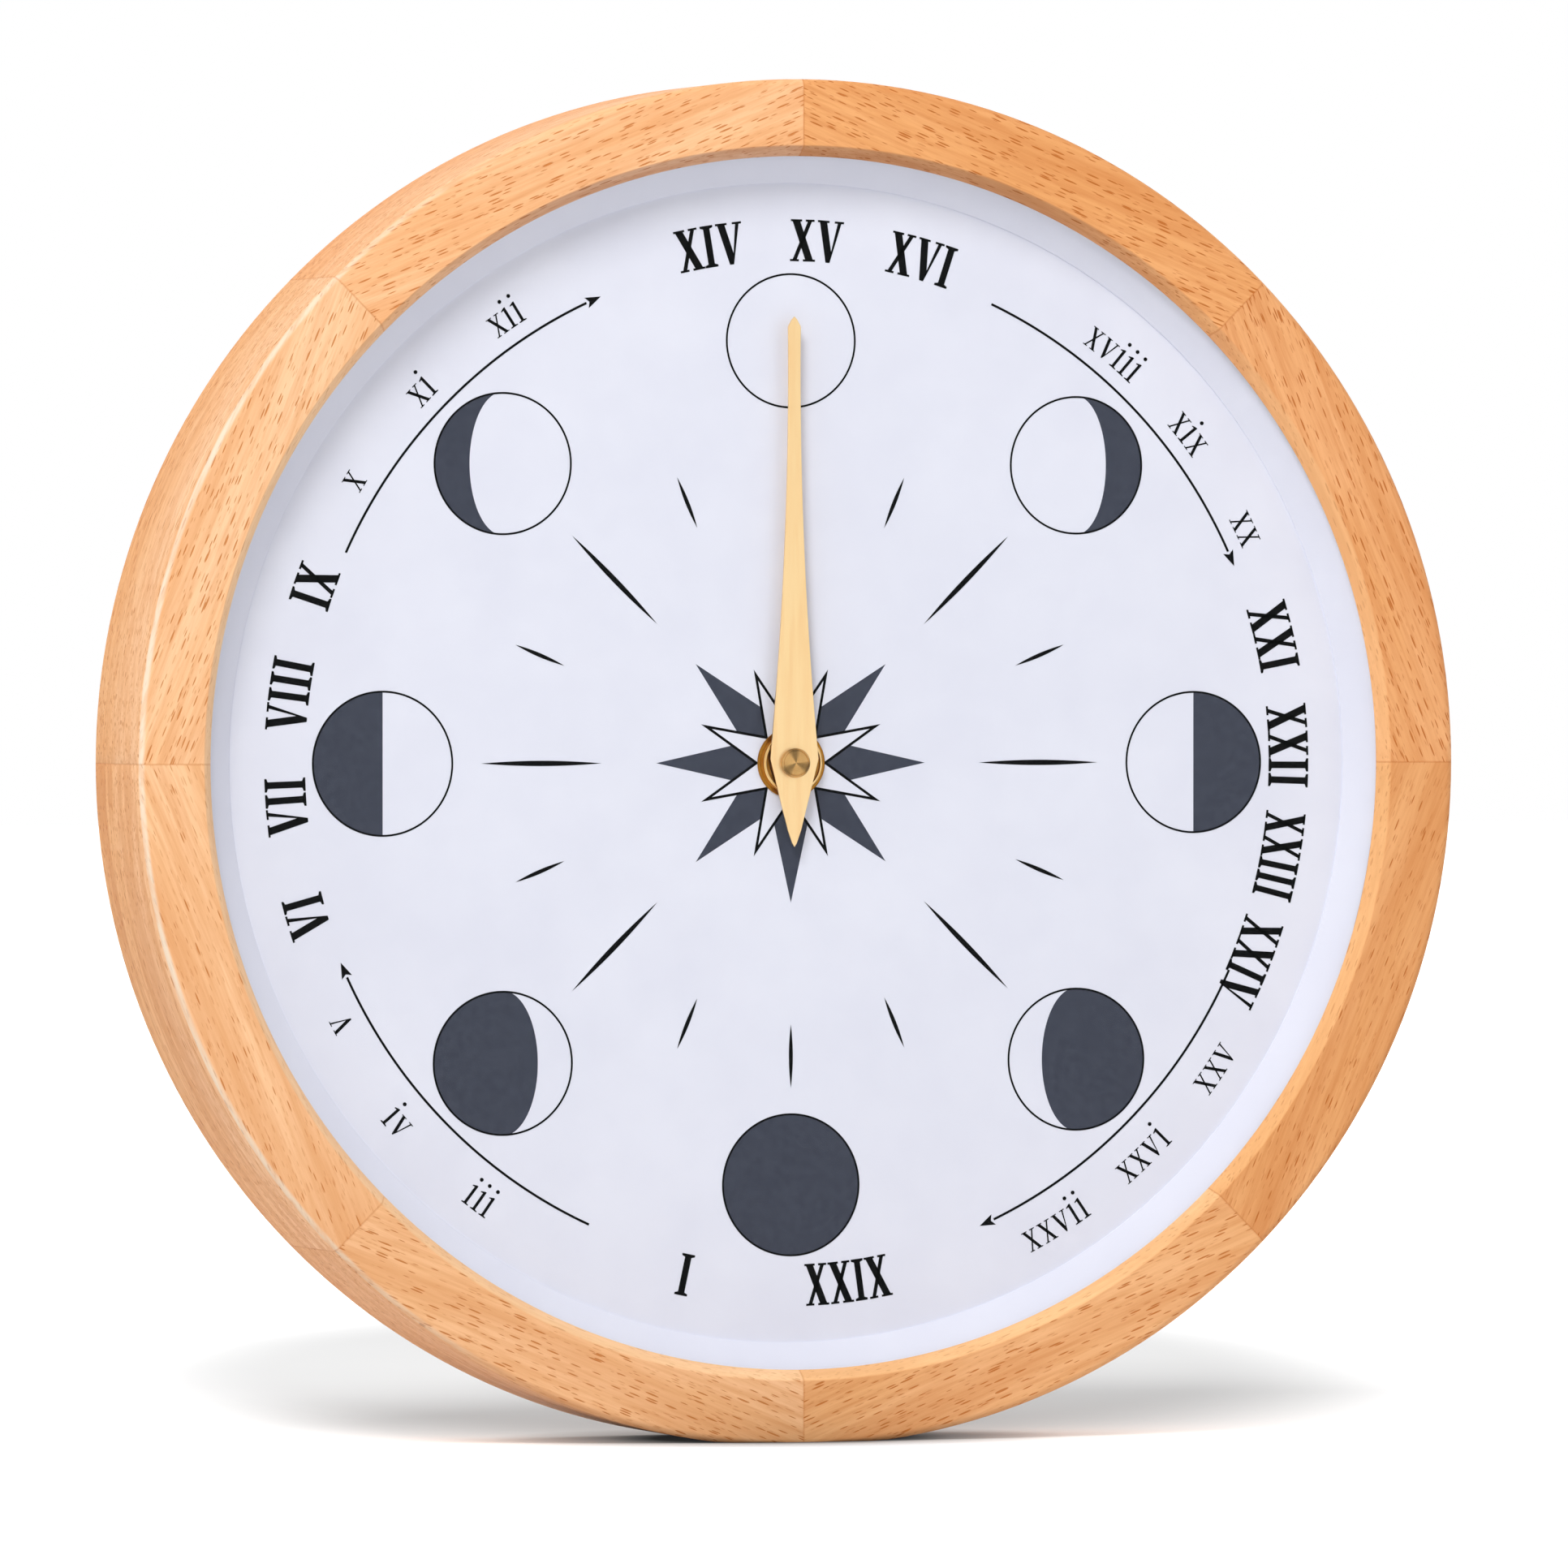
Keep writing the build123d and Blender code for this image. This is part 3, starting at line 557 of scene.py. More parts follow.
# The shares of the ellipse's radius between which the shadow fades
shadow_fade = (0.65, 1.30)
# A contact shadow is painted on the floor where the ring comes down to it, over half axes across and along
# the clock. The stops are the share of that ellipse's radius and the floor's brightness there.
contact_shadow_half_width = 0.045
contact_shadow_half_length = 0.034
contact_shadow_stops = [(0.42, 0.08), (0.60, 0.55), (1.0, 1.0)]

floor_shader = Shader("floor_white", roughness=0.9)
floor_shader.surface.inputs["Specular IOR Level"].default_value = 0.1
cloud = floor_shader.noise(floor_shader.mapped((6, 6, 6)), detail=2.0)
contact = floor_shader.add("ShaderNodeVectorMath", operation="LENGTH")
contact_shadow_ellipse = floor_shader.mapped((1 / contact_shadow_half_width, 1 / contact_shadow_half_length, 1))
floor_shader.link(contact_shadow_ellipse, contact.inputs[0])
# Painted contact shadow on the floor, darkest right next to the ring
painted_contact_shadow = floor_shader.ramp(contact.outputs["Value"], contact_shadow_stops)
floor_color = floor_shader.ramp(cloud, [(0.3, floor_tone[0]), (0.7, floor_tone[1])])
floor_shader.paint(floor_shader.mix(1.0, floor_color, painted_contact_shadow, "MULTIPLY"))
path = floor_shader.add("ShaderNodeLightPath")
away = floor_shader.add("ShaderNodeVectorMath", operation="LENGTH")
ellipse = floor_shader.mapped(
    (1 / shadow_half_width, 1 / shadow_half_length, 1),
    (0, 0, camera_yaw),
    (shadow_set_left / shadow_half_width, -shadow_set_back / shadow_half_length, 0),
)
floor_shader.link(ellipse, away.inputs[0])
# Painted light: seen from the camera the floor glows, faintly inside the ellipse and up to white beyond
# it, which washes the real shadow out there
lift = floor_shader.smooth_range(away.outputs["Value"], *shadow_fade, floor_lift, 1.0)
floor_shader.surface.inputs["Emission Color"].default_value = (1, 1, 1, 1)
seen = floor_shader.math("MULTIPLY", path.outputs["Is Camera Ray"], lift)
mirrored = floor_shader.math("MULTIPLY", path.outputs["Is Glossy Ray"], mirrored_lift)
# The painted contact shadow also darkens the floor's glow
glow = floor_shader.math("MULTIPLY", floor_shader.math("ADD", seen, mirrored), painted_contact_shadow)
floor_shader.link(glow, floor_shader.surface.inputs["Emission Strength"])
floor_mesh = mesh_from("floor", [(-8, -8, 0), (8, -8, 0), (8, 8, 0), (-8, 8, 0)], [(0, 1, 2, 3)])
floor = bpy.data.objects.new("floor", floor_mesh)
bpy.context.scene.collection.objects.link(floor)
floor.data.materials.append(floor_shader.material)

world = bpy.data.worlds.new("studio")
bpy.context.scene.world = world
world.use_nodes = True
nodes = world.node_tree.nodes
links = world.node_tree.links
background = nodes["Background"]
background.inputs["Color"].default_value = (1, 1, 1, 1)
light_path = nodes.new("ShaderNodeLightPath")
seen = nodes.new("ShaderNodeMath")
seen.operation = "MAXIMUM"
links.new(light_path.outputs["Is Camera Ray"], seen.inputs[0])
links.new(light_path.outputs["Is Glossy Ray"], seen.inputs[1])
seen_through = nodes.new("ShaderNodeMath")
seen_through.operation = "MAXIMUM"
links.new(seen.outputs["Value"], seen_through.inputs[0])
links.new(light_path.outputs["Is Transmission Ray"], seen_through.inputs[1])
strength = nodes.new("ShaderNodeMapRange")
strength.inputs["To Min"].default_value = ambient
strength.inputs["To Max"].default_value = 1.0
links.new(seen_through.outputs["Value"], strength.inputs["Value"])
links.new(strength.outputs["Result"], background.inputs["Strength"])


def lamp(name, location, size, power, aim_at):
    data = bpy.data.lights.new(name, "AREA")
    data.shape = "DISK"
    data.size = size
    data.energy = power
    light = bpy.data.objects.new(name, data)
    bpy.context.scene.collection.objects.link(light)
    light.location = location
    light.rotation_euler = (Vector(aim_at) - Vector(location)).to_track_quat("-Z", "Y").to_euler()
    light.visible_glossy = False
    return light


lamp("key", (-0.9, -1.3, 1.7), 0.9, 31.0, (0, 0, 0.1))
lamp("side", (-1.8, -0.5, 0.7), 1.3, 6.5, (0, 0, 0.1))
lamp("fill", (1.3, -1.6, 0.9), 1.4, 6.3, (0, 0, 0.1))
lamp("rear", (0.3, 1.6, 1.4), 1.4, 12.0, (0, 0, 0.1))
lamp("far_side", (1.7, 0.45, 0.8), 1.2, 5.0, (0, 0, 0.1))

# Dial print: thin ink just proud of the dial, built from flat outlines

ink_level = dial_front - 0.015
star_level = dial_front - 0.025
line_level = dial_front - 0.035
moon_circle_radius = 63.4
star_reach = 21.0
star_half_tip = 12.5
small_star_reach = 14.6
small_star_notch = 5.5
star_points = 8
line_width = 0.36
arrow_radius = 75.9
numeral_radius = 78.5
small_numeral_radius = 80.6
days_in_month = 29.53
large_numeral_height = 6.3
small_numeral_height = 4.9
widest_numeral = 13.2


class Ink:
    """Flat outlines of one ink, gathered into one mesh at one depth."""

    def __init__(self, depth):
        self.depth = depth
        self.vertices = []
        self.faces = []

    def add(self, outline):
        start = len(self.vertices)
        self.vertices += [place(x, self.depth, z) for x, z in outline]
        self.faces.append(tuple(range(start, start + len(outline))))

    def strip(self, inner, outer, closed=False):
        """A band of quads between two rows of points."""
        start = len(self.vertices)
        count = len(inner)
        self.vertices += [place(x, self.depth, z) for x, z in inner]
        self.vertices += [place(x, self.depth, z) for x, z in outer]
        for index in range(count if closed else count - 1):
            beside = (index + 1) % count
            near, far = start + index, start + beside
            self.faces.append((near, far, far + count, near + count))

    def piece(self, name, material, body="clock", slot="dial_card"):
        mesh = bpy.data.meshes.new(name)
        mesh.from_pydata([tuple(vertex) for vertex in self.vertices], [], self.faces)
        work = bmesh.new()
        work.from_mesh(mesh)
        for face in work.faces:
            face.normal_update()
            if face.normal.y > 0:
                face.normal_flip()
        bmesh.ops.triangulate(work, faces=[face for face in work.faces if len(face.verts) > 4])
        work.to_mesh(mesh)
        work.free()
        return new_piece(name, mesh, material, body)


def circle_points(centre, radius, steps=96):
    points = []
    for step in range(steps):
        angle = 2 * math.pi * step / steps
        points.append((centre[0] + radius * math.sin(angle), centre[1] + radius * math.cos(angle)))
    return points


def star_outline(reach, notch, first_turn):
    outline = []
    for index in range(star_points):
        turn = first_turn + index * 360 / star_points
        outline.append(clock_point(reach, turn))
        outline.append(clock_point(notch, turn + 180 / star_points))
    return outline


slate_ink = Ink(ink_level)
white_ink = Ink(star_level)
black_ink = Ink(line_level)

# Star: slate points at the eight main directions, a white outlined star between them on top
half_step = math.radians(180 / star_points)
tip_slope = math.tan(math.radians(star_half_tip))
star_notch = star_reach * tip_slope / (math.sin(half_step) + math.cos(half_step) * tip_slope)
slate_ink.add(star_outline(star_reach, star_notch, 0))
white_star = star_outline(small_star_reach, small_star_notch, 180 / star_points)
white_ink.add(white_star)


def inset_outline(outline, width):
    """A closed outline moved inwards by a width, with its corners mitred."""
    inner = []
    count = len(outline)
    for index in range(count):
        before = Vector(outline[index - 1])
        here = Vector(outline[index])
        after = Vector(outline[(index + 1) % count])
        first = (here - before).normalized()
        second = (after - here).normalized()
        first_side = Vector((first.y, -first.x))
        second_side = Vector((second.y, -second.x))
        bisector = (first_side + second_side).normalized()
        length = width / max(bisector.dot(first_side), 0.12)
        moved = here + bisector * length
        inner.append((moved.x, moved.y))
    return inner


black_ink.strip(
    inset_outline(white_star, line_width * 0.75),
    inset_outline(white_star, -line_width * 0.35),
    closed=True,
)

# Moons, clockwise from the top: the turn, the diameter, and the lit part's edges. The dark part
# runs between two half ellipses, whose widths are shares of the radius from left (-1) to right (1).
moons = [
    (0, 20.3, None),
    (45, 20.9, (0.45, 1.0)),
    (90, 21.5, (0.0, 1.0)),
    (135, 21.6, (-0.50, 1.0)),
    (180, 21.5, (-1.0, 1.0)),
    (225, 21.7, (-1.0, 0.50)),
    (270, 21.8, (-1.0, 0.0)),
    (315, 21.4, (-1.0, -0.48)),
]
for turn, diameter, dark in moons:
    centre = clock_point(moon_circle_radius, turn)
    radius = diameter / 2
    black_ink.strip(
        circle_points(centre, radius - line_width * 0.8),
        circle_points(centre, radius),
        closed=True,
    )
    if dark is None:
        continue
    left_row = []
    right_row = []
    for step in range(49):
        angle = math.pi * step / 48
        height = centre[1] + radius * math.cos(angle)
        half_width = radius * math.sin(angle)
        left_row.append((centre[0] + dark[0] * half_width, height))
        right_row.append((centre[0] + dark[1] * half_width, height))
    slate_ink.strip(left_row, right_row)


def tick(first_radius, last_radius, turn, width):
    """A thin lens, pointed at both ends, along a radius."""
    steps = 12
    left_row = []
    right_row = []
    for step in range(steps + 1):
        share = step / steps
        radius = first_radius + (last_radius - first_radius) * share
        half = width / 2 * math.sin(math.pi * share) ** 0.9
        x, z = clock_point(radius, turn)
        side_x, side_z = clock_point(half, turn + 90)
        left_row.append((x - side_x, z - side_z))
        right_row.append((x + side_x, z + side_z))
    black_ink.strip(left_row, right_row)


for turn in (45, 90, 135, 225, 270, 315):
    tick(29.5, 48.2, turn, 0.80)
tick(39.3, 48.8, 180, 0.62)
for index in range(star_points):
    tick(38.2, 46.4, 22.5 + 45 * index, 0.60)

# Four arrows that follow the hand's direction
arrow_first, arrow_last = 24.5, 65.2
head_length, head_width = 2.4, 1.7
for quarter in range(4):
    inner = []
    outer = []
    for step in range(41):
        turn = quarter * 90 + arrow_first + (arrow_last - arrow_first) * step / 40
        inner.append(clock_point(arrow_radius - line_width / 2, turn))
        outer.append(clock_point(arrow_radius + line_width / 2, turn))
    black_ink.strip(inner, outer)
    last = quarter * 90 + arrow_last
    reach = math.degrees(head_length / arrow_radius)
    black_ink.add([
        clock_point(arrow_radius, last + reach),
        clock_point(arrow_radius - head_width / 2, last),
        clock_point(arrow_radius, last + reach * 0.2),
        clock_point(arrow_radius + head_width / 2, last),
    ])

# Roman numerals for the moon's age in days. Each letter is a set of outlines on a height of 1, with
# its width; x runs from the letter's left edge.
dot_turns = [math.radians(30 * index) for index in range(12)]
letters = {
    "I": (0.32, [
        [(0.0, 0), (0.32, 0), (0.32, 0.05), (0.24, 0.08), (0.24, 0.92), (0.32, 0.95), (0.32, 1),
         (0.0, 1), (0.0, 0.95), (0.08, 0.92), (0.08, 0.08), (0.0, 0.05)],
    ]),
    "V": (0.62, [
        [(0.05, 0.97), (0.23, 0.97), (0.38, 0.27), (0.50, 0.97), (0.59, 0.97), (0.36, 0), (0.26, 0)],
        [(0.0, 0.95), (0.29, 0.95), (0.29, 1), (0.0, 1)],
        [(0.42, 0.95), (0.65, 0.95), (0.65, 1), (0.42, 1)],
    ]),
    "X": (0.60, [
        [(0.04, 0.97), (0.23, 0.97), (0.57, 0.03), (0.38, 0.03)],
        [(0.43, 0.97), (0.53, 0.97), (0.16, 0.03), (0.06, 0.03)],
        [(0.0, 0.95), (0.28, 0.95), (0.28, 1), (0.0, 1)],
        [(0.37, 0.95), (0.59, 0.95), (0.59, 1), (0.37, 1)],
        [(0.0, 0), (0.22, 0), (0.22, 0.05), (0.0, 0.05)],
        [(0.32, 0), (0.62, 0), (0.62, 0.05), (0.32, 0.05)],
    ]),
    "i": (0.27, [
        [(0.01, 0), (0.26, 0), (0.26, 0.03), (0.18, 0.05), (0.18, 0.68), (0.14, 0.68), (0.01, 0.62),
         (0.01, 0.59), (0.09, 0.60), (0.09, 0.05), (0.01, 0.03)],
        [(0.135 + 0.062 * math.sin(turn), 0.90 + 0.062 * math.cos(turn)) for turn in dot_turns],
    ]),
    "v": (0.50, [
        [(0.04, 0.64), (0.14, 0.64), (0.27, 0.16), (0.39, 0.64), (0.44, 0.64), (0.25, 0), (0.21, 0)],
        [(0.0, 0.63), (0.19, 0.63), (0.19, 0.66), (0.0, 0.66)],
        [(0.32, 0.63), (0.49, 0.63), (0.49, 0.66), (0.32, 0.66)],
    ]),
    "x": (0.49, [
        [(0.04, 0.64), (0.14, 0.64), (0.43, 0.02), (0.33, 0.02)],
        [(0.35, 0.64), (0.40, 0.64), (0.12, 0.02), (0.07, 0.02)],
        [(0.0, 0.63), (0.19, 0.63), (0.19, 0.66), (0.0, 0.66)],
        [(0.29, 0.63), (0.46, 0.63), (0.46, 0.66), (0.29, 0.66)],
        [(0.02, 0), (0.17, 0), (0.17, 0.03), (0.02, 0.03)],
        [(0.27, 0), (0.47, 0), (0.47, 0.03), (0.27, 0.03)],
    ]),
}
roman_steps = [(10, "X"), (9, "IX"), (5, "V"), (4, "IV"), (1, "I")]


def roman(number):
    text = ""
    for value, symbol in roman_steps:
        while number >= value:
            text += symbol
            number -= value
    return text


def write(text, turn, radius, height, spacing, upright):
    """Letters along an arc, centred on a turn; upright letters have their tops towards the centre."""
    natural = sum(letters[letter][0] * height for letter in text) + spacing * (len(text) - 1)
    narrowing = min(1, widest_numeral / natural)
    spacing *= narrowing
    widths = [letters[letter][0] * height * narrowing for letter in text]
    total = sum(widths) + spacing * (len(text) - 1)
    cursor = -total / 2
    for letter, width in zip(text, widths):
        middle = cursor + width / 2
        letter_turn = turn + math.degrees(middle / radius) * (-1 if upright else 1)
        for outline in letters[letter][1]:
            drawn = []
            for x, y in outline:
                across = x * height * narrowing - width / 2
                rise = (y - 0.5) * height
                if upright:
                    across, rise = -across, -rise
                base = clock_point(radius + rise, letter_turn)
                side = clock_point(across, letter_turn + 90)
                drawn.append((base[0] + side[0], base[1] + side[1]))
            black_ink.add(drawn)
        cursor += width + spacing


large_days = [29, 1, 6, 7, 8, 9, 14, 15, 16, 21, 22, 23, 24]
small_days = [3, 4, 5, 10, 11, 12, 18, 19, 20, 25, 26, 27]
for day in large_days + small_days:
    turn = 180 + day * 360 / days_in_month
    upright = math.cos(math.radians(turn)) < -0.5
    if day in large_days:
        write(roman(day), turn, numeral_radius, large_numeral_height, 0.30, upright)
    else:
        write(roman(day).lower(), turn, small_numeral_radius, small_numeral_height, 0.28, upright)

slate = mottled("slate_ink", (63, 67, 80), (70, 74, 87), 900, 0.75, 0.00001, gloss=0.1)
black = mottled("black_ink", (4, 4, 5), (9, 9, 11), 600, 0.7, gloss=0.05)
card = mottled(
    "dial_card", (228, 230, 243), (233, 235, 247), 70, 0.8, 0.000006, bump_scale=1500, gloss=0.15,
)
slate_ink.piece("print_slate", slate)
white_ink.piece("print_white", card)
black_ink.piece("print_black", black)

# Hand: flat plate with a fine bevel round its front

hand_reach = 67.0
hand_tip_length = 1.5
hand_tip_width = 1.95
hand_waist = (1.7, 28.5)
hand_corner = (3.75, 0.6)
hand_tail_shoulder = (1.025, -10.1)
hand_tail = -12.6
washer_front = dial_front - 0.3
nut_front = washer_front - 1.1
hand_back = nut_front - 0.3
hand_front = hand_back - 0.4
hand_bevel = 0.09


def arc_through(first, middle, last, steps):
    """Points along the circle through three points."""
    ax, ay = first
    bx, by = middle
    cx, cy = last
    d = 2 * (ax * (by - cy) + bx * (cy - ay) + cx * (ay - by))
    ux = ((ax**2 + ay**2) * (by - cy) + (bx**2 + by**2) * (cy - ay) + (cx**2 + cy**2) * (ay - by)) / d
    uy = ((ax**2 + ay**2) * (cx - bx) + (bx**2 + by**2) * (ax - cx) + (cx**2 + cy**2) * (bx - ax)) / d
    radius = math.hypot(ax - ux, ay - uy)
    start = math.atan2(ay - uy, ax - ux)
    stop = math.atan2(cy - uy, cx - ux)
    if stop - start > math.pi:
        stop -= 2 * math.pi
    if start - stop > math.pi:
        stop += 2 * math.pi
    points = []
    for step in range(steps + 1):
        angle = start + (stop - start) * step / steps
        points.append((ux + radius * math.cos(angle), uy + radius * math.sin(angle)))
    return points


right_side = [(0.0, hand_reach), (0.42, hand_reach - 0.45)]
right_side += arc_through((hand_tip_width / 2, hand_reach - hand_tip_length), hand_waist, hand_corner, 40)
right_side += [hand_tail_shoulder, (0.34, hand_tail + 0.55), (0.0, hand_tail)]
left_side = [(-x, z) for x, z in reversed(right_side[1:-1])]
hand_outline = right_side + left_side


def plate_mesh(name, outline, front, back, bevel):
    """A flat plate with a bevel round its front edge. The outline runs clockwise."""
    inner = inset_outline(outline, bevel)
    count = len(outline)
    vertices = [place(x, front, z) for x, z in inner]
    vertices += [place(x, front + bevel * 0.6, z) for x, z in outline]
    vertices += [place(x, back, z) for x, z in outline]
    faces = [tuple(range(count)), tuple(range(2 * count, 3 * count))]
    for row in (0, count):
        for index in range(count):
            beside = (index + 1) % count
            faces.append((row + index, row + beside, row + count + beside, row + count + index))
    return mesh_from(name, vertices, faces)


hand_gold = brushed_metal("hand_gold", (255, 221, 165), (251, 210, 152), (900, 900, 60), 0.38)
hand_mesh = plate_mesh("moon_hand_plate", hand_outline, hand_front, hand_back, hand_bevel)
shade_by_angle(hand_mesh, 25)
new_piece("moon_hand_plate", hand_mesh, hand_gold, "moon_hand_set", ["moon_hand"])

# Brass at the centre: washer, rimmed nut, end of the bush and turned cap

axis_place = place(0, 0, 0)
dark_brass = turned_metal("dark_brass", (178, 124, 46), (150, 100, 30), axis_place, 0.30, 0.00035)
bright_brass = turned_metal("bright_brass", (246, 212, 150), (226, 178, 108), axis_place, 0.28, 0.00030)
# The nut's dish is a darker copy of the bright brass: painted shade in the recess
shaded_dish_brass = turned_metal("shaded_dish_brass", (160, 112, 48), (132, 88, 32), axis_place, 0.34, 0.00030)
# The cap carries the painted reflection wedges
cap_brass = turned_metal("cap_brass", (222, 178, 114), (196, 152, 92), axis_place, 0.26, 0.00028, 0.8)


def ring_section(inner, outer, front, back, bevel):
    """A ring's section with a bevel on its two front edges."""
    return [
        (inner, front + bevel),
        (inner + bevel, front),
        (outer - bevel, front),
        (outer, front + bevel),
        (outer, back),
        (inner, back),
    ]


def turned_piece(name, section, material, body, node, steps=128):
    mesh = turned_mesh(name, section, steps)
    shade_by_angle(mesh, 40)
    return new_piece(name, mesh, material, body, [node])


turned_piece("washer_ring", ring_section(3.7, 5.25, washer_front, dial_front, 0.08), dark_brass,
             "clock", "brass_washer")
nut_section = [
    (3.54, nut_front + 0.36),
    (3.60, nut_front + 0.30),
    (4.125, nut_front + 0.30),
    (4.175, nut_front + 0.06),
    (4.235, nut_front),
    (4.48, nut_front),
    (4.575, nut_front + 0.10),
    (4.575, washer_front),
    (3.54, washer_front),
]
nut_ring = turned_piece("nut_ring", nut_section, bright_brass, "clock", "bush_nut")
nut_ring.data.materials.append(shaded_dish_brass)
# Faces in the dish take the darker brass, painted shade of the recess
dish_depth = place(0, nut_front + 0.2, 0).y
for polygon in nut_ring.data.polygons:
    if polygon.center.y > dish_depth and (polygon.center - axis_place).xz.length < 4.15 * MM:
        polygon.material_index = 1

cap_front = hand_front - 0.9
cap_section = [
    (0.0, cap_front + 0.03),
    (0.6, cap_front + 0.03),
    (1.78, cap_front + 0.03),
    (1.84, cap_front + 0.09),
    (1.92, cap_front + 0.09),
    (1.98, cap_front),
    (2.08, cap_front),
    (2.20, cap_front + 0.14),
    (2.20, hand_front),
    (0.0, hand_front),
]


def lathe_mesh(name, section, steps=96):
    """A solid turned from a section that starts and ends on the axis."""
    vertices = []
    faces = []
    count = len(section)
    for step in range(steps):
        turn = 360 * step / steps
        for radius, depth in section:
            x, z = clock_point(radius, turn)
            vertices.append(place(x, depth, z))
    for step in range(steps):
        after = (step + 1) % steps
        for index in range(count - 1):
            faces.append((
                step * count + index,
                step * count + index + 1,
                after * count + index + 1,
                after * count + index,
            ))
    mesh = bpy.data.meshes.new(name)
    mesh.from_pydata([tuple(vertex) for vertex in vertices], [], faces)
    work = bmesh.new()
    work.from_mesh(mesh)
    bmesh.ops.remove_doubles(work, verts=work.verts, dist=1e-7)
    bmesh.ops.dissolve_degenerate(work, edges=work.edges, dist=1e-8)
    bmesh.ops.recalc_face_normals(work, faces=work.faces)
    work.to_mesh(mesh)
    work.free()
    return mesh


cap_mesh = lathe_mesh("cap_turned", cap_section)
shade_by_angle(cap_mesh, 30)
new_piece("cap_turned", cap_mesh, cap_brass, "moon_hand_set", ["cap_nut"])

# Screws at the back: domed heads, with each cross recess as painted shade, a dark cross laid just above
# the head

screw_turns = [22.5 + 90 * index for index in range(4)]
screw_radius = 95.75
screw_steel = turned_metal("screw_steel", (190, 191, 194), (150, 151, 155), axis_place, 0.32, 0.0005)


def screw_mesh(name):
    """Four screws: domed heads on their shanks; their cross recesses are painted shade added apart."""
    work = bmesh.new()
    steps = 32
    for turn in screw_turns:
        x, z = clock_point(screw_radius, turn)
        profile = [
            (0.9, board_front - 4.5), (0.9, board_back), (1.8, board_back), (1.8, board_back + 0.55),
        ]
        for step in range(1, 5):
            angle = math.radians(90 * step / 5)
            profile.append((1.8 * math.cos(angle), board_back + 0.55 + 0.45 * math.sin(angle)))
        rows = []
        for radius, depth in profile:
            row = []
            for step in range(steps):
                angle = 2 * math.pi * step / steps
                corner = place(x + radius * math.cos(angle), depth, z + radius * math.sin(angle))
                row.append(work.verts.new(corner))
            rows.append(row)
        for first, second in zip(rows, rows[1:]):
            for step in range(steps):
                after = (step + 1) % steps
                work.faces.new((first[step], first[after], second[after], second[step]))
        work.faces.new(tuple(reversed(rows[0])))
        work.faces.new(tuple(rows[-1]))
    bmesh.ops.recalc_face_normals(work, faces=work.faces)
    mesh = bpy.data.meshes.new(name)
    work.to_mesh(mesh)
    work.free()
    return mesh


screws = screw_mesh("cross_screws")
shade_by_angle(screws, 35)
new_piece("cross_screws", screws, screw_steel, "clock", ["board_screws"])
# Painted shade: a flat dark cross just above each domed head stands for the shaded cross recess
recess = Ink(board_back + 1.02)
painted_recess_shade = mottled("painted_recess_shade", (40, 40, 42), (58, 58, 60), 3000, 0.6, metallic=0.6)
for index, turn in enumerate(screw_turns):
    x, z = clock_point(screw_radius, turn)
    for arm in (0, 90):
        angle = math.radians(20 + 31 * index + arm)
        along = Vector((math.cos(angle), math.sin(angle)))
        across = Vector((-along.y, along.x))
        corners = []
        for u, v in ((-0.78, -0.13), (0.78, -0.13), (0.78, 0.13), (-0.78, 0.13)):
            corner = Vector((x, z)) + along * u + across * v
            corners.append((corner.x, corner.y))
        recess.add(corners)
recess.piece("screw_recess_shade", painted_recess_shade, slot="screw_steel")

# Finishes of the pieces that keep their CAD shape


def wear(node, material):
    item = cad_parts[node]
    item.data.materials.clear()
    item.data.materials.append(material)


def clear_glass():
    """Clear glass with a faint roughness, seen as the surface alone."""
    shader = Shader("clear_glass", roughness=0.04)
    cloud = shader.noise(shader.mapped((30, 30, 30)), detail=2.0)
    shader.paint(shader.ramp(cloud, [(0.3, linear(100, 108, 106)), (0.7, linear(108, 116, 114))]))
    shader.surface.inputs["Alpha"].default_value = 0.015
    shader.surface.inputs["IOR"].default_value = 1.5
    return shader.material


def hardboard():
    """Pressed fibre board: brown, with fine pale and dark fibres."""
    shader = Shader("hardboard", roughness=0.75)
    fibres = shader.noise(shader.mapped((900, 900, 900)), detail=5.0, roughness=0.7, distortion=0.4)
    cloud = shader.noise(shader.mapped((40, 40, 40)), detail=3.0)
    browns = [(0.30, linear(98, 66, 43)), (0.5, linear(128, 88, 58)), (0.72, linear(152, 110, 76))]
    color = shader.ramp(fibres, browns)
    shader.paint(shader.mix(shader.ramp(cloud, [(0.35, 0.0), (0.7, 0.4)]), color, linear(112, 76, 50)))
    shader.bump(fibres, 0.00005, 0.5)
    return shader.material


# Shares of the cell's length
jacket_middle = 0.492
jacket_half_length = 0.462
jacket_band_start = 0.70


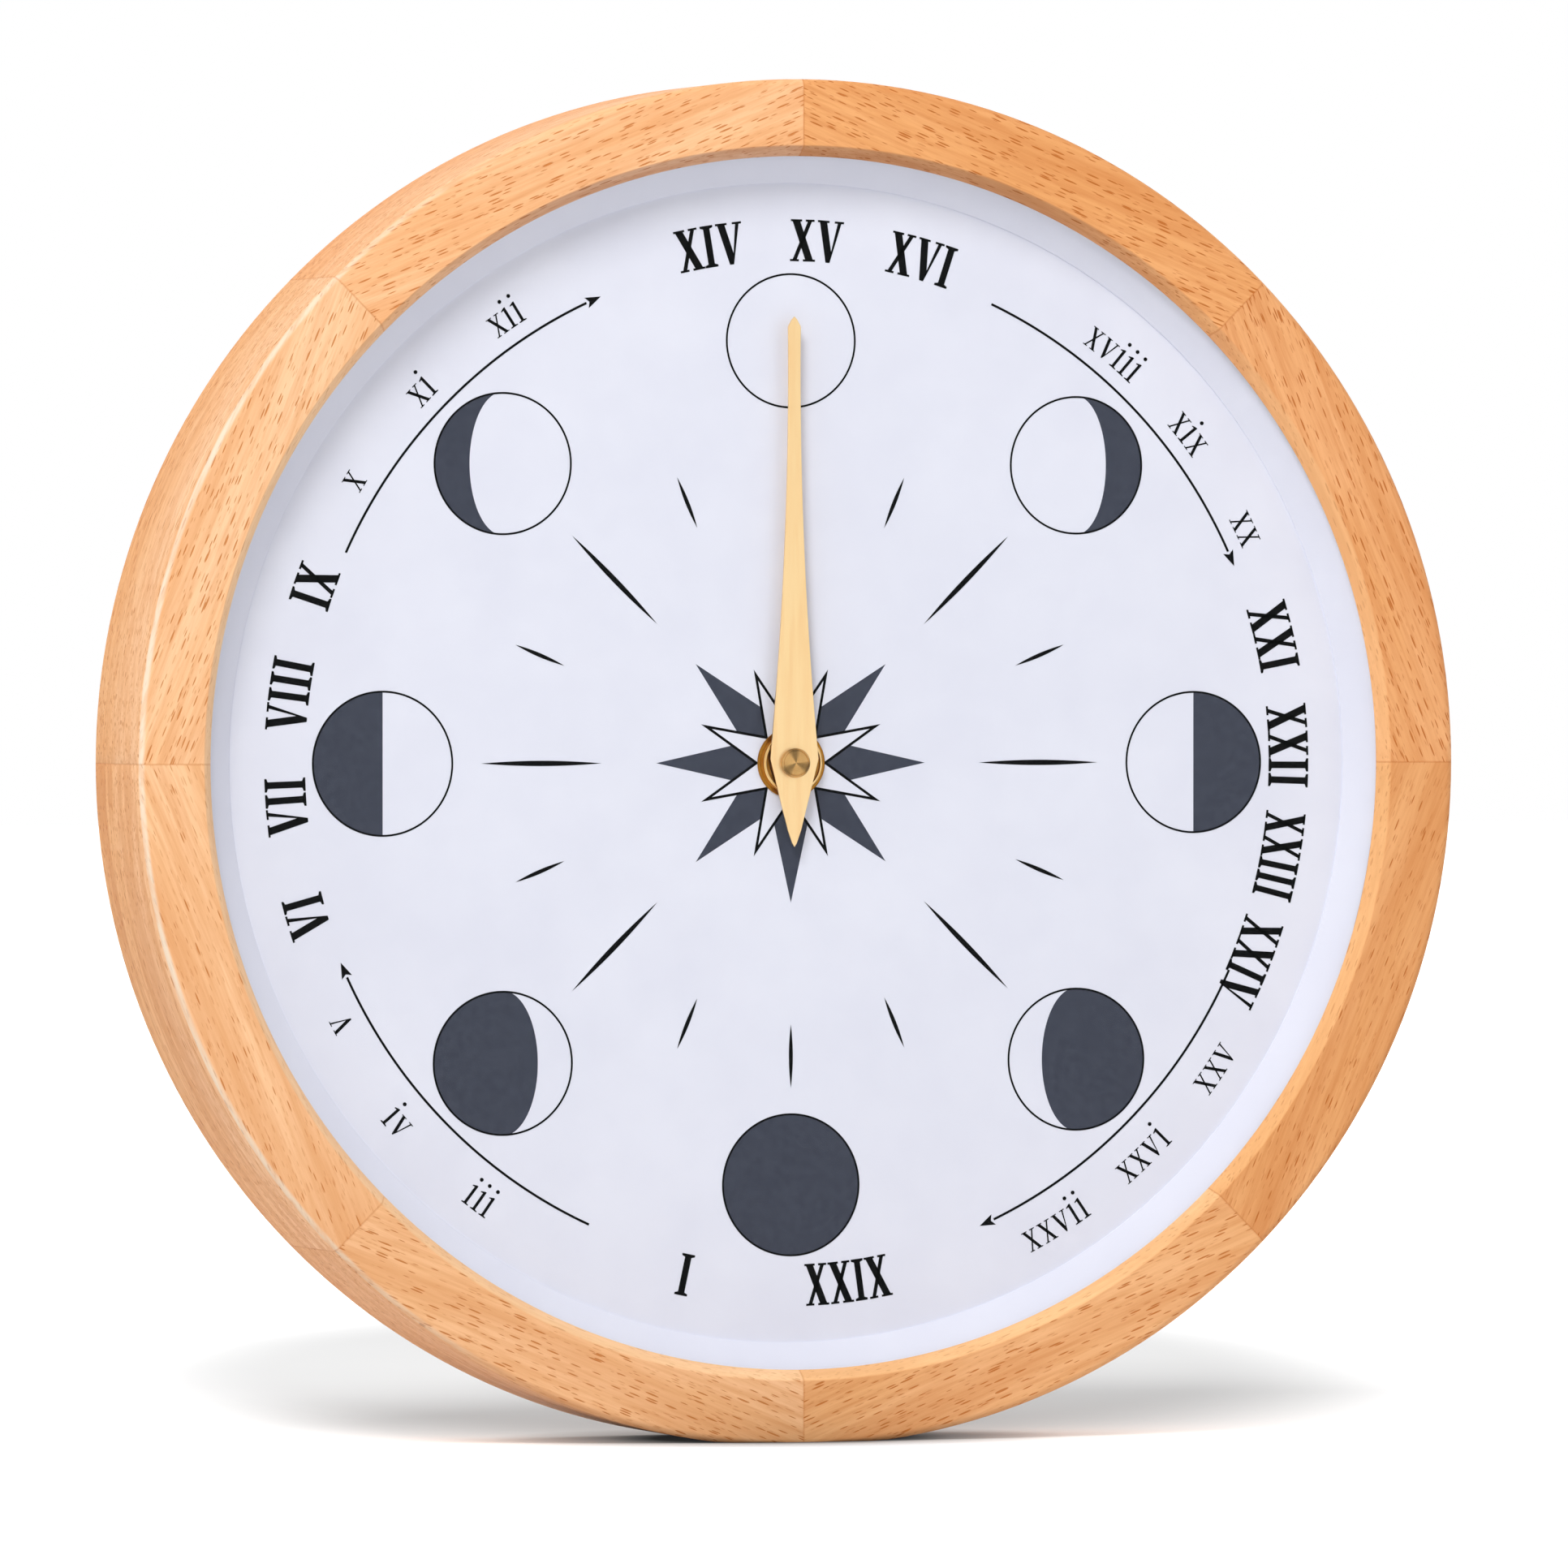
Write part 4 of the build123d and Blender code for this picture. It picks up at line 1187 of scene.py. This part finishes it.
def battery_jacket():
    """Plain printed jacket with one band near the positive end, and bare metal at both ends."""
    shader = Shader("battery_jacket", roughness=0.38)
    low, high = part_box("battery_cell")
    length = high.x - low.x
    parts = shader.add("ShaderNodeSeparateXYZ")
    shader.link(shader.coordinates, parts.inputs["Vector"])
    share = shader.math("DIVIDE", shader.math("SUBTRACT", parts.outputs["X"], low.x), length)
    cloud = shader.noise(shader.mapped((200, 200, 200)), detail=4.0, roughness=0.6)
    jacket = shader.ramp(cloud, [(0.35, linear(196, 202, 206)), (0.68, linear(206, 211, 215))])
    band = shader.ramp(share, [
        (0.0, 0.0), (jacket_band_start, 0.0), (jacket_band_start + 0.002, 1.0), (0.95, 1.0),
    ])
    color = shader.mix(band, jacket, linear(36, 66, 112))
    from_middle = shader.math("ABSOLUTE", shader.math("SUBTRACT", share, jacket_middle))
    ends = shader.math("GREATER_THAN", from_middle, jacket_half_length)
    shader.paint(shader.mix(ends, color, linear(206, 206, 202)))
    shader.link(ends, shader.surface.inputs["Metallic"])
    shader.bump(cloud, 0.00001, 0.4)
    return shader.material


finishes = {
    "glass_lens": clear_glass(),
    "dial_flange_ring": mottled(
        "white_ring", (224, 226, 240), (228, 230, 243), 60, 0.7, 0.000005, bump_scale=900,
    ),
    "dial_plate": card,
    "backing_board": hardboard(),
    "rubber_washer": mottled("black_rubber", (28, 28, 29), (40, 40, 41), 500, 0.85, 0.00002),
    "threaded_bush": bright_brass,
    "rotor_magnet": mottled("magnet", (54, 54, 57), (70, 70, 74), 900, 0.5, 0.00001, 0.6),
    "coil_bobbin": mottled("bobbin_plastic", (216, 208, 180), (226, 219, 194), 300, 0.5, 0.00001),
    "circuit_board": mottled("circuit_laminate", (28, 92, 52), (38, 108, 62), 700, 0.45, 0.00001),
    "battery_cell": battery_jacket(),
}
gear_plastic = mottled("gear_plastic", (232, 229, 216), (240, 237, 226), 400, 0.45, 0.00001)
for node in ("moon_wheel", "second_wheel", "third_wheel", "rotor", "setting_wheel"):
    finishes[node] = gear_plastic
bright_strip = brushed_metal("motor_iron", (196, 197, 199), (168, 169, 172), (300, 300, 2500), 0.35)
for node in ("stator", "coil_core", "quartz_crystal", "contact_negative", "contact_positive"):
    finishes[node] = bright_strip
black_plastic = mottled("black_plastic", (30, 30, 32), (42, 42, 44), 220, 0.48, 0.000015, bump_scale=4500)
for node in ("movement_case", "movement_cover", "setting_knob"):
    finishes[node] = black_plastic


def copper():
    """Enamelled wire wound round the coil, turn beside turn along z."""
    shader = Shader("copper_wire", roughness=0.3, metallic=1.0)
    turns = shader.noise(shader.mapped((60, 60, 9000)), detail=1.0)
    shader.paint(shader.ramp(turns, [(0.35, linear(168, 84, 40)), (0.65, linear(214, 126, 72))]))
    shader.bump(turns, 0.00003, 0.8)
    return shader.material


finishes["coil_winding"] = copper()
for node, material in finishes.items():
    wear(node, material)

bpy.context.scene.view_settings.view_transform = "Standard"
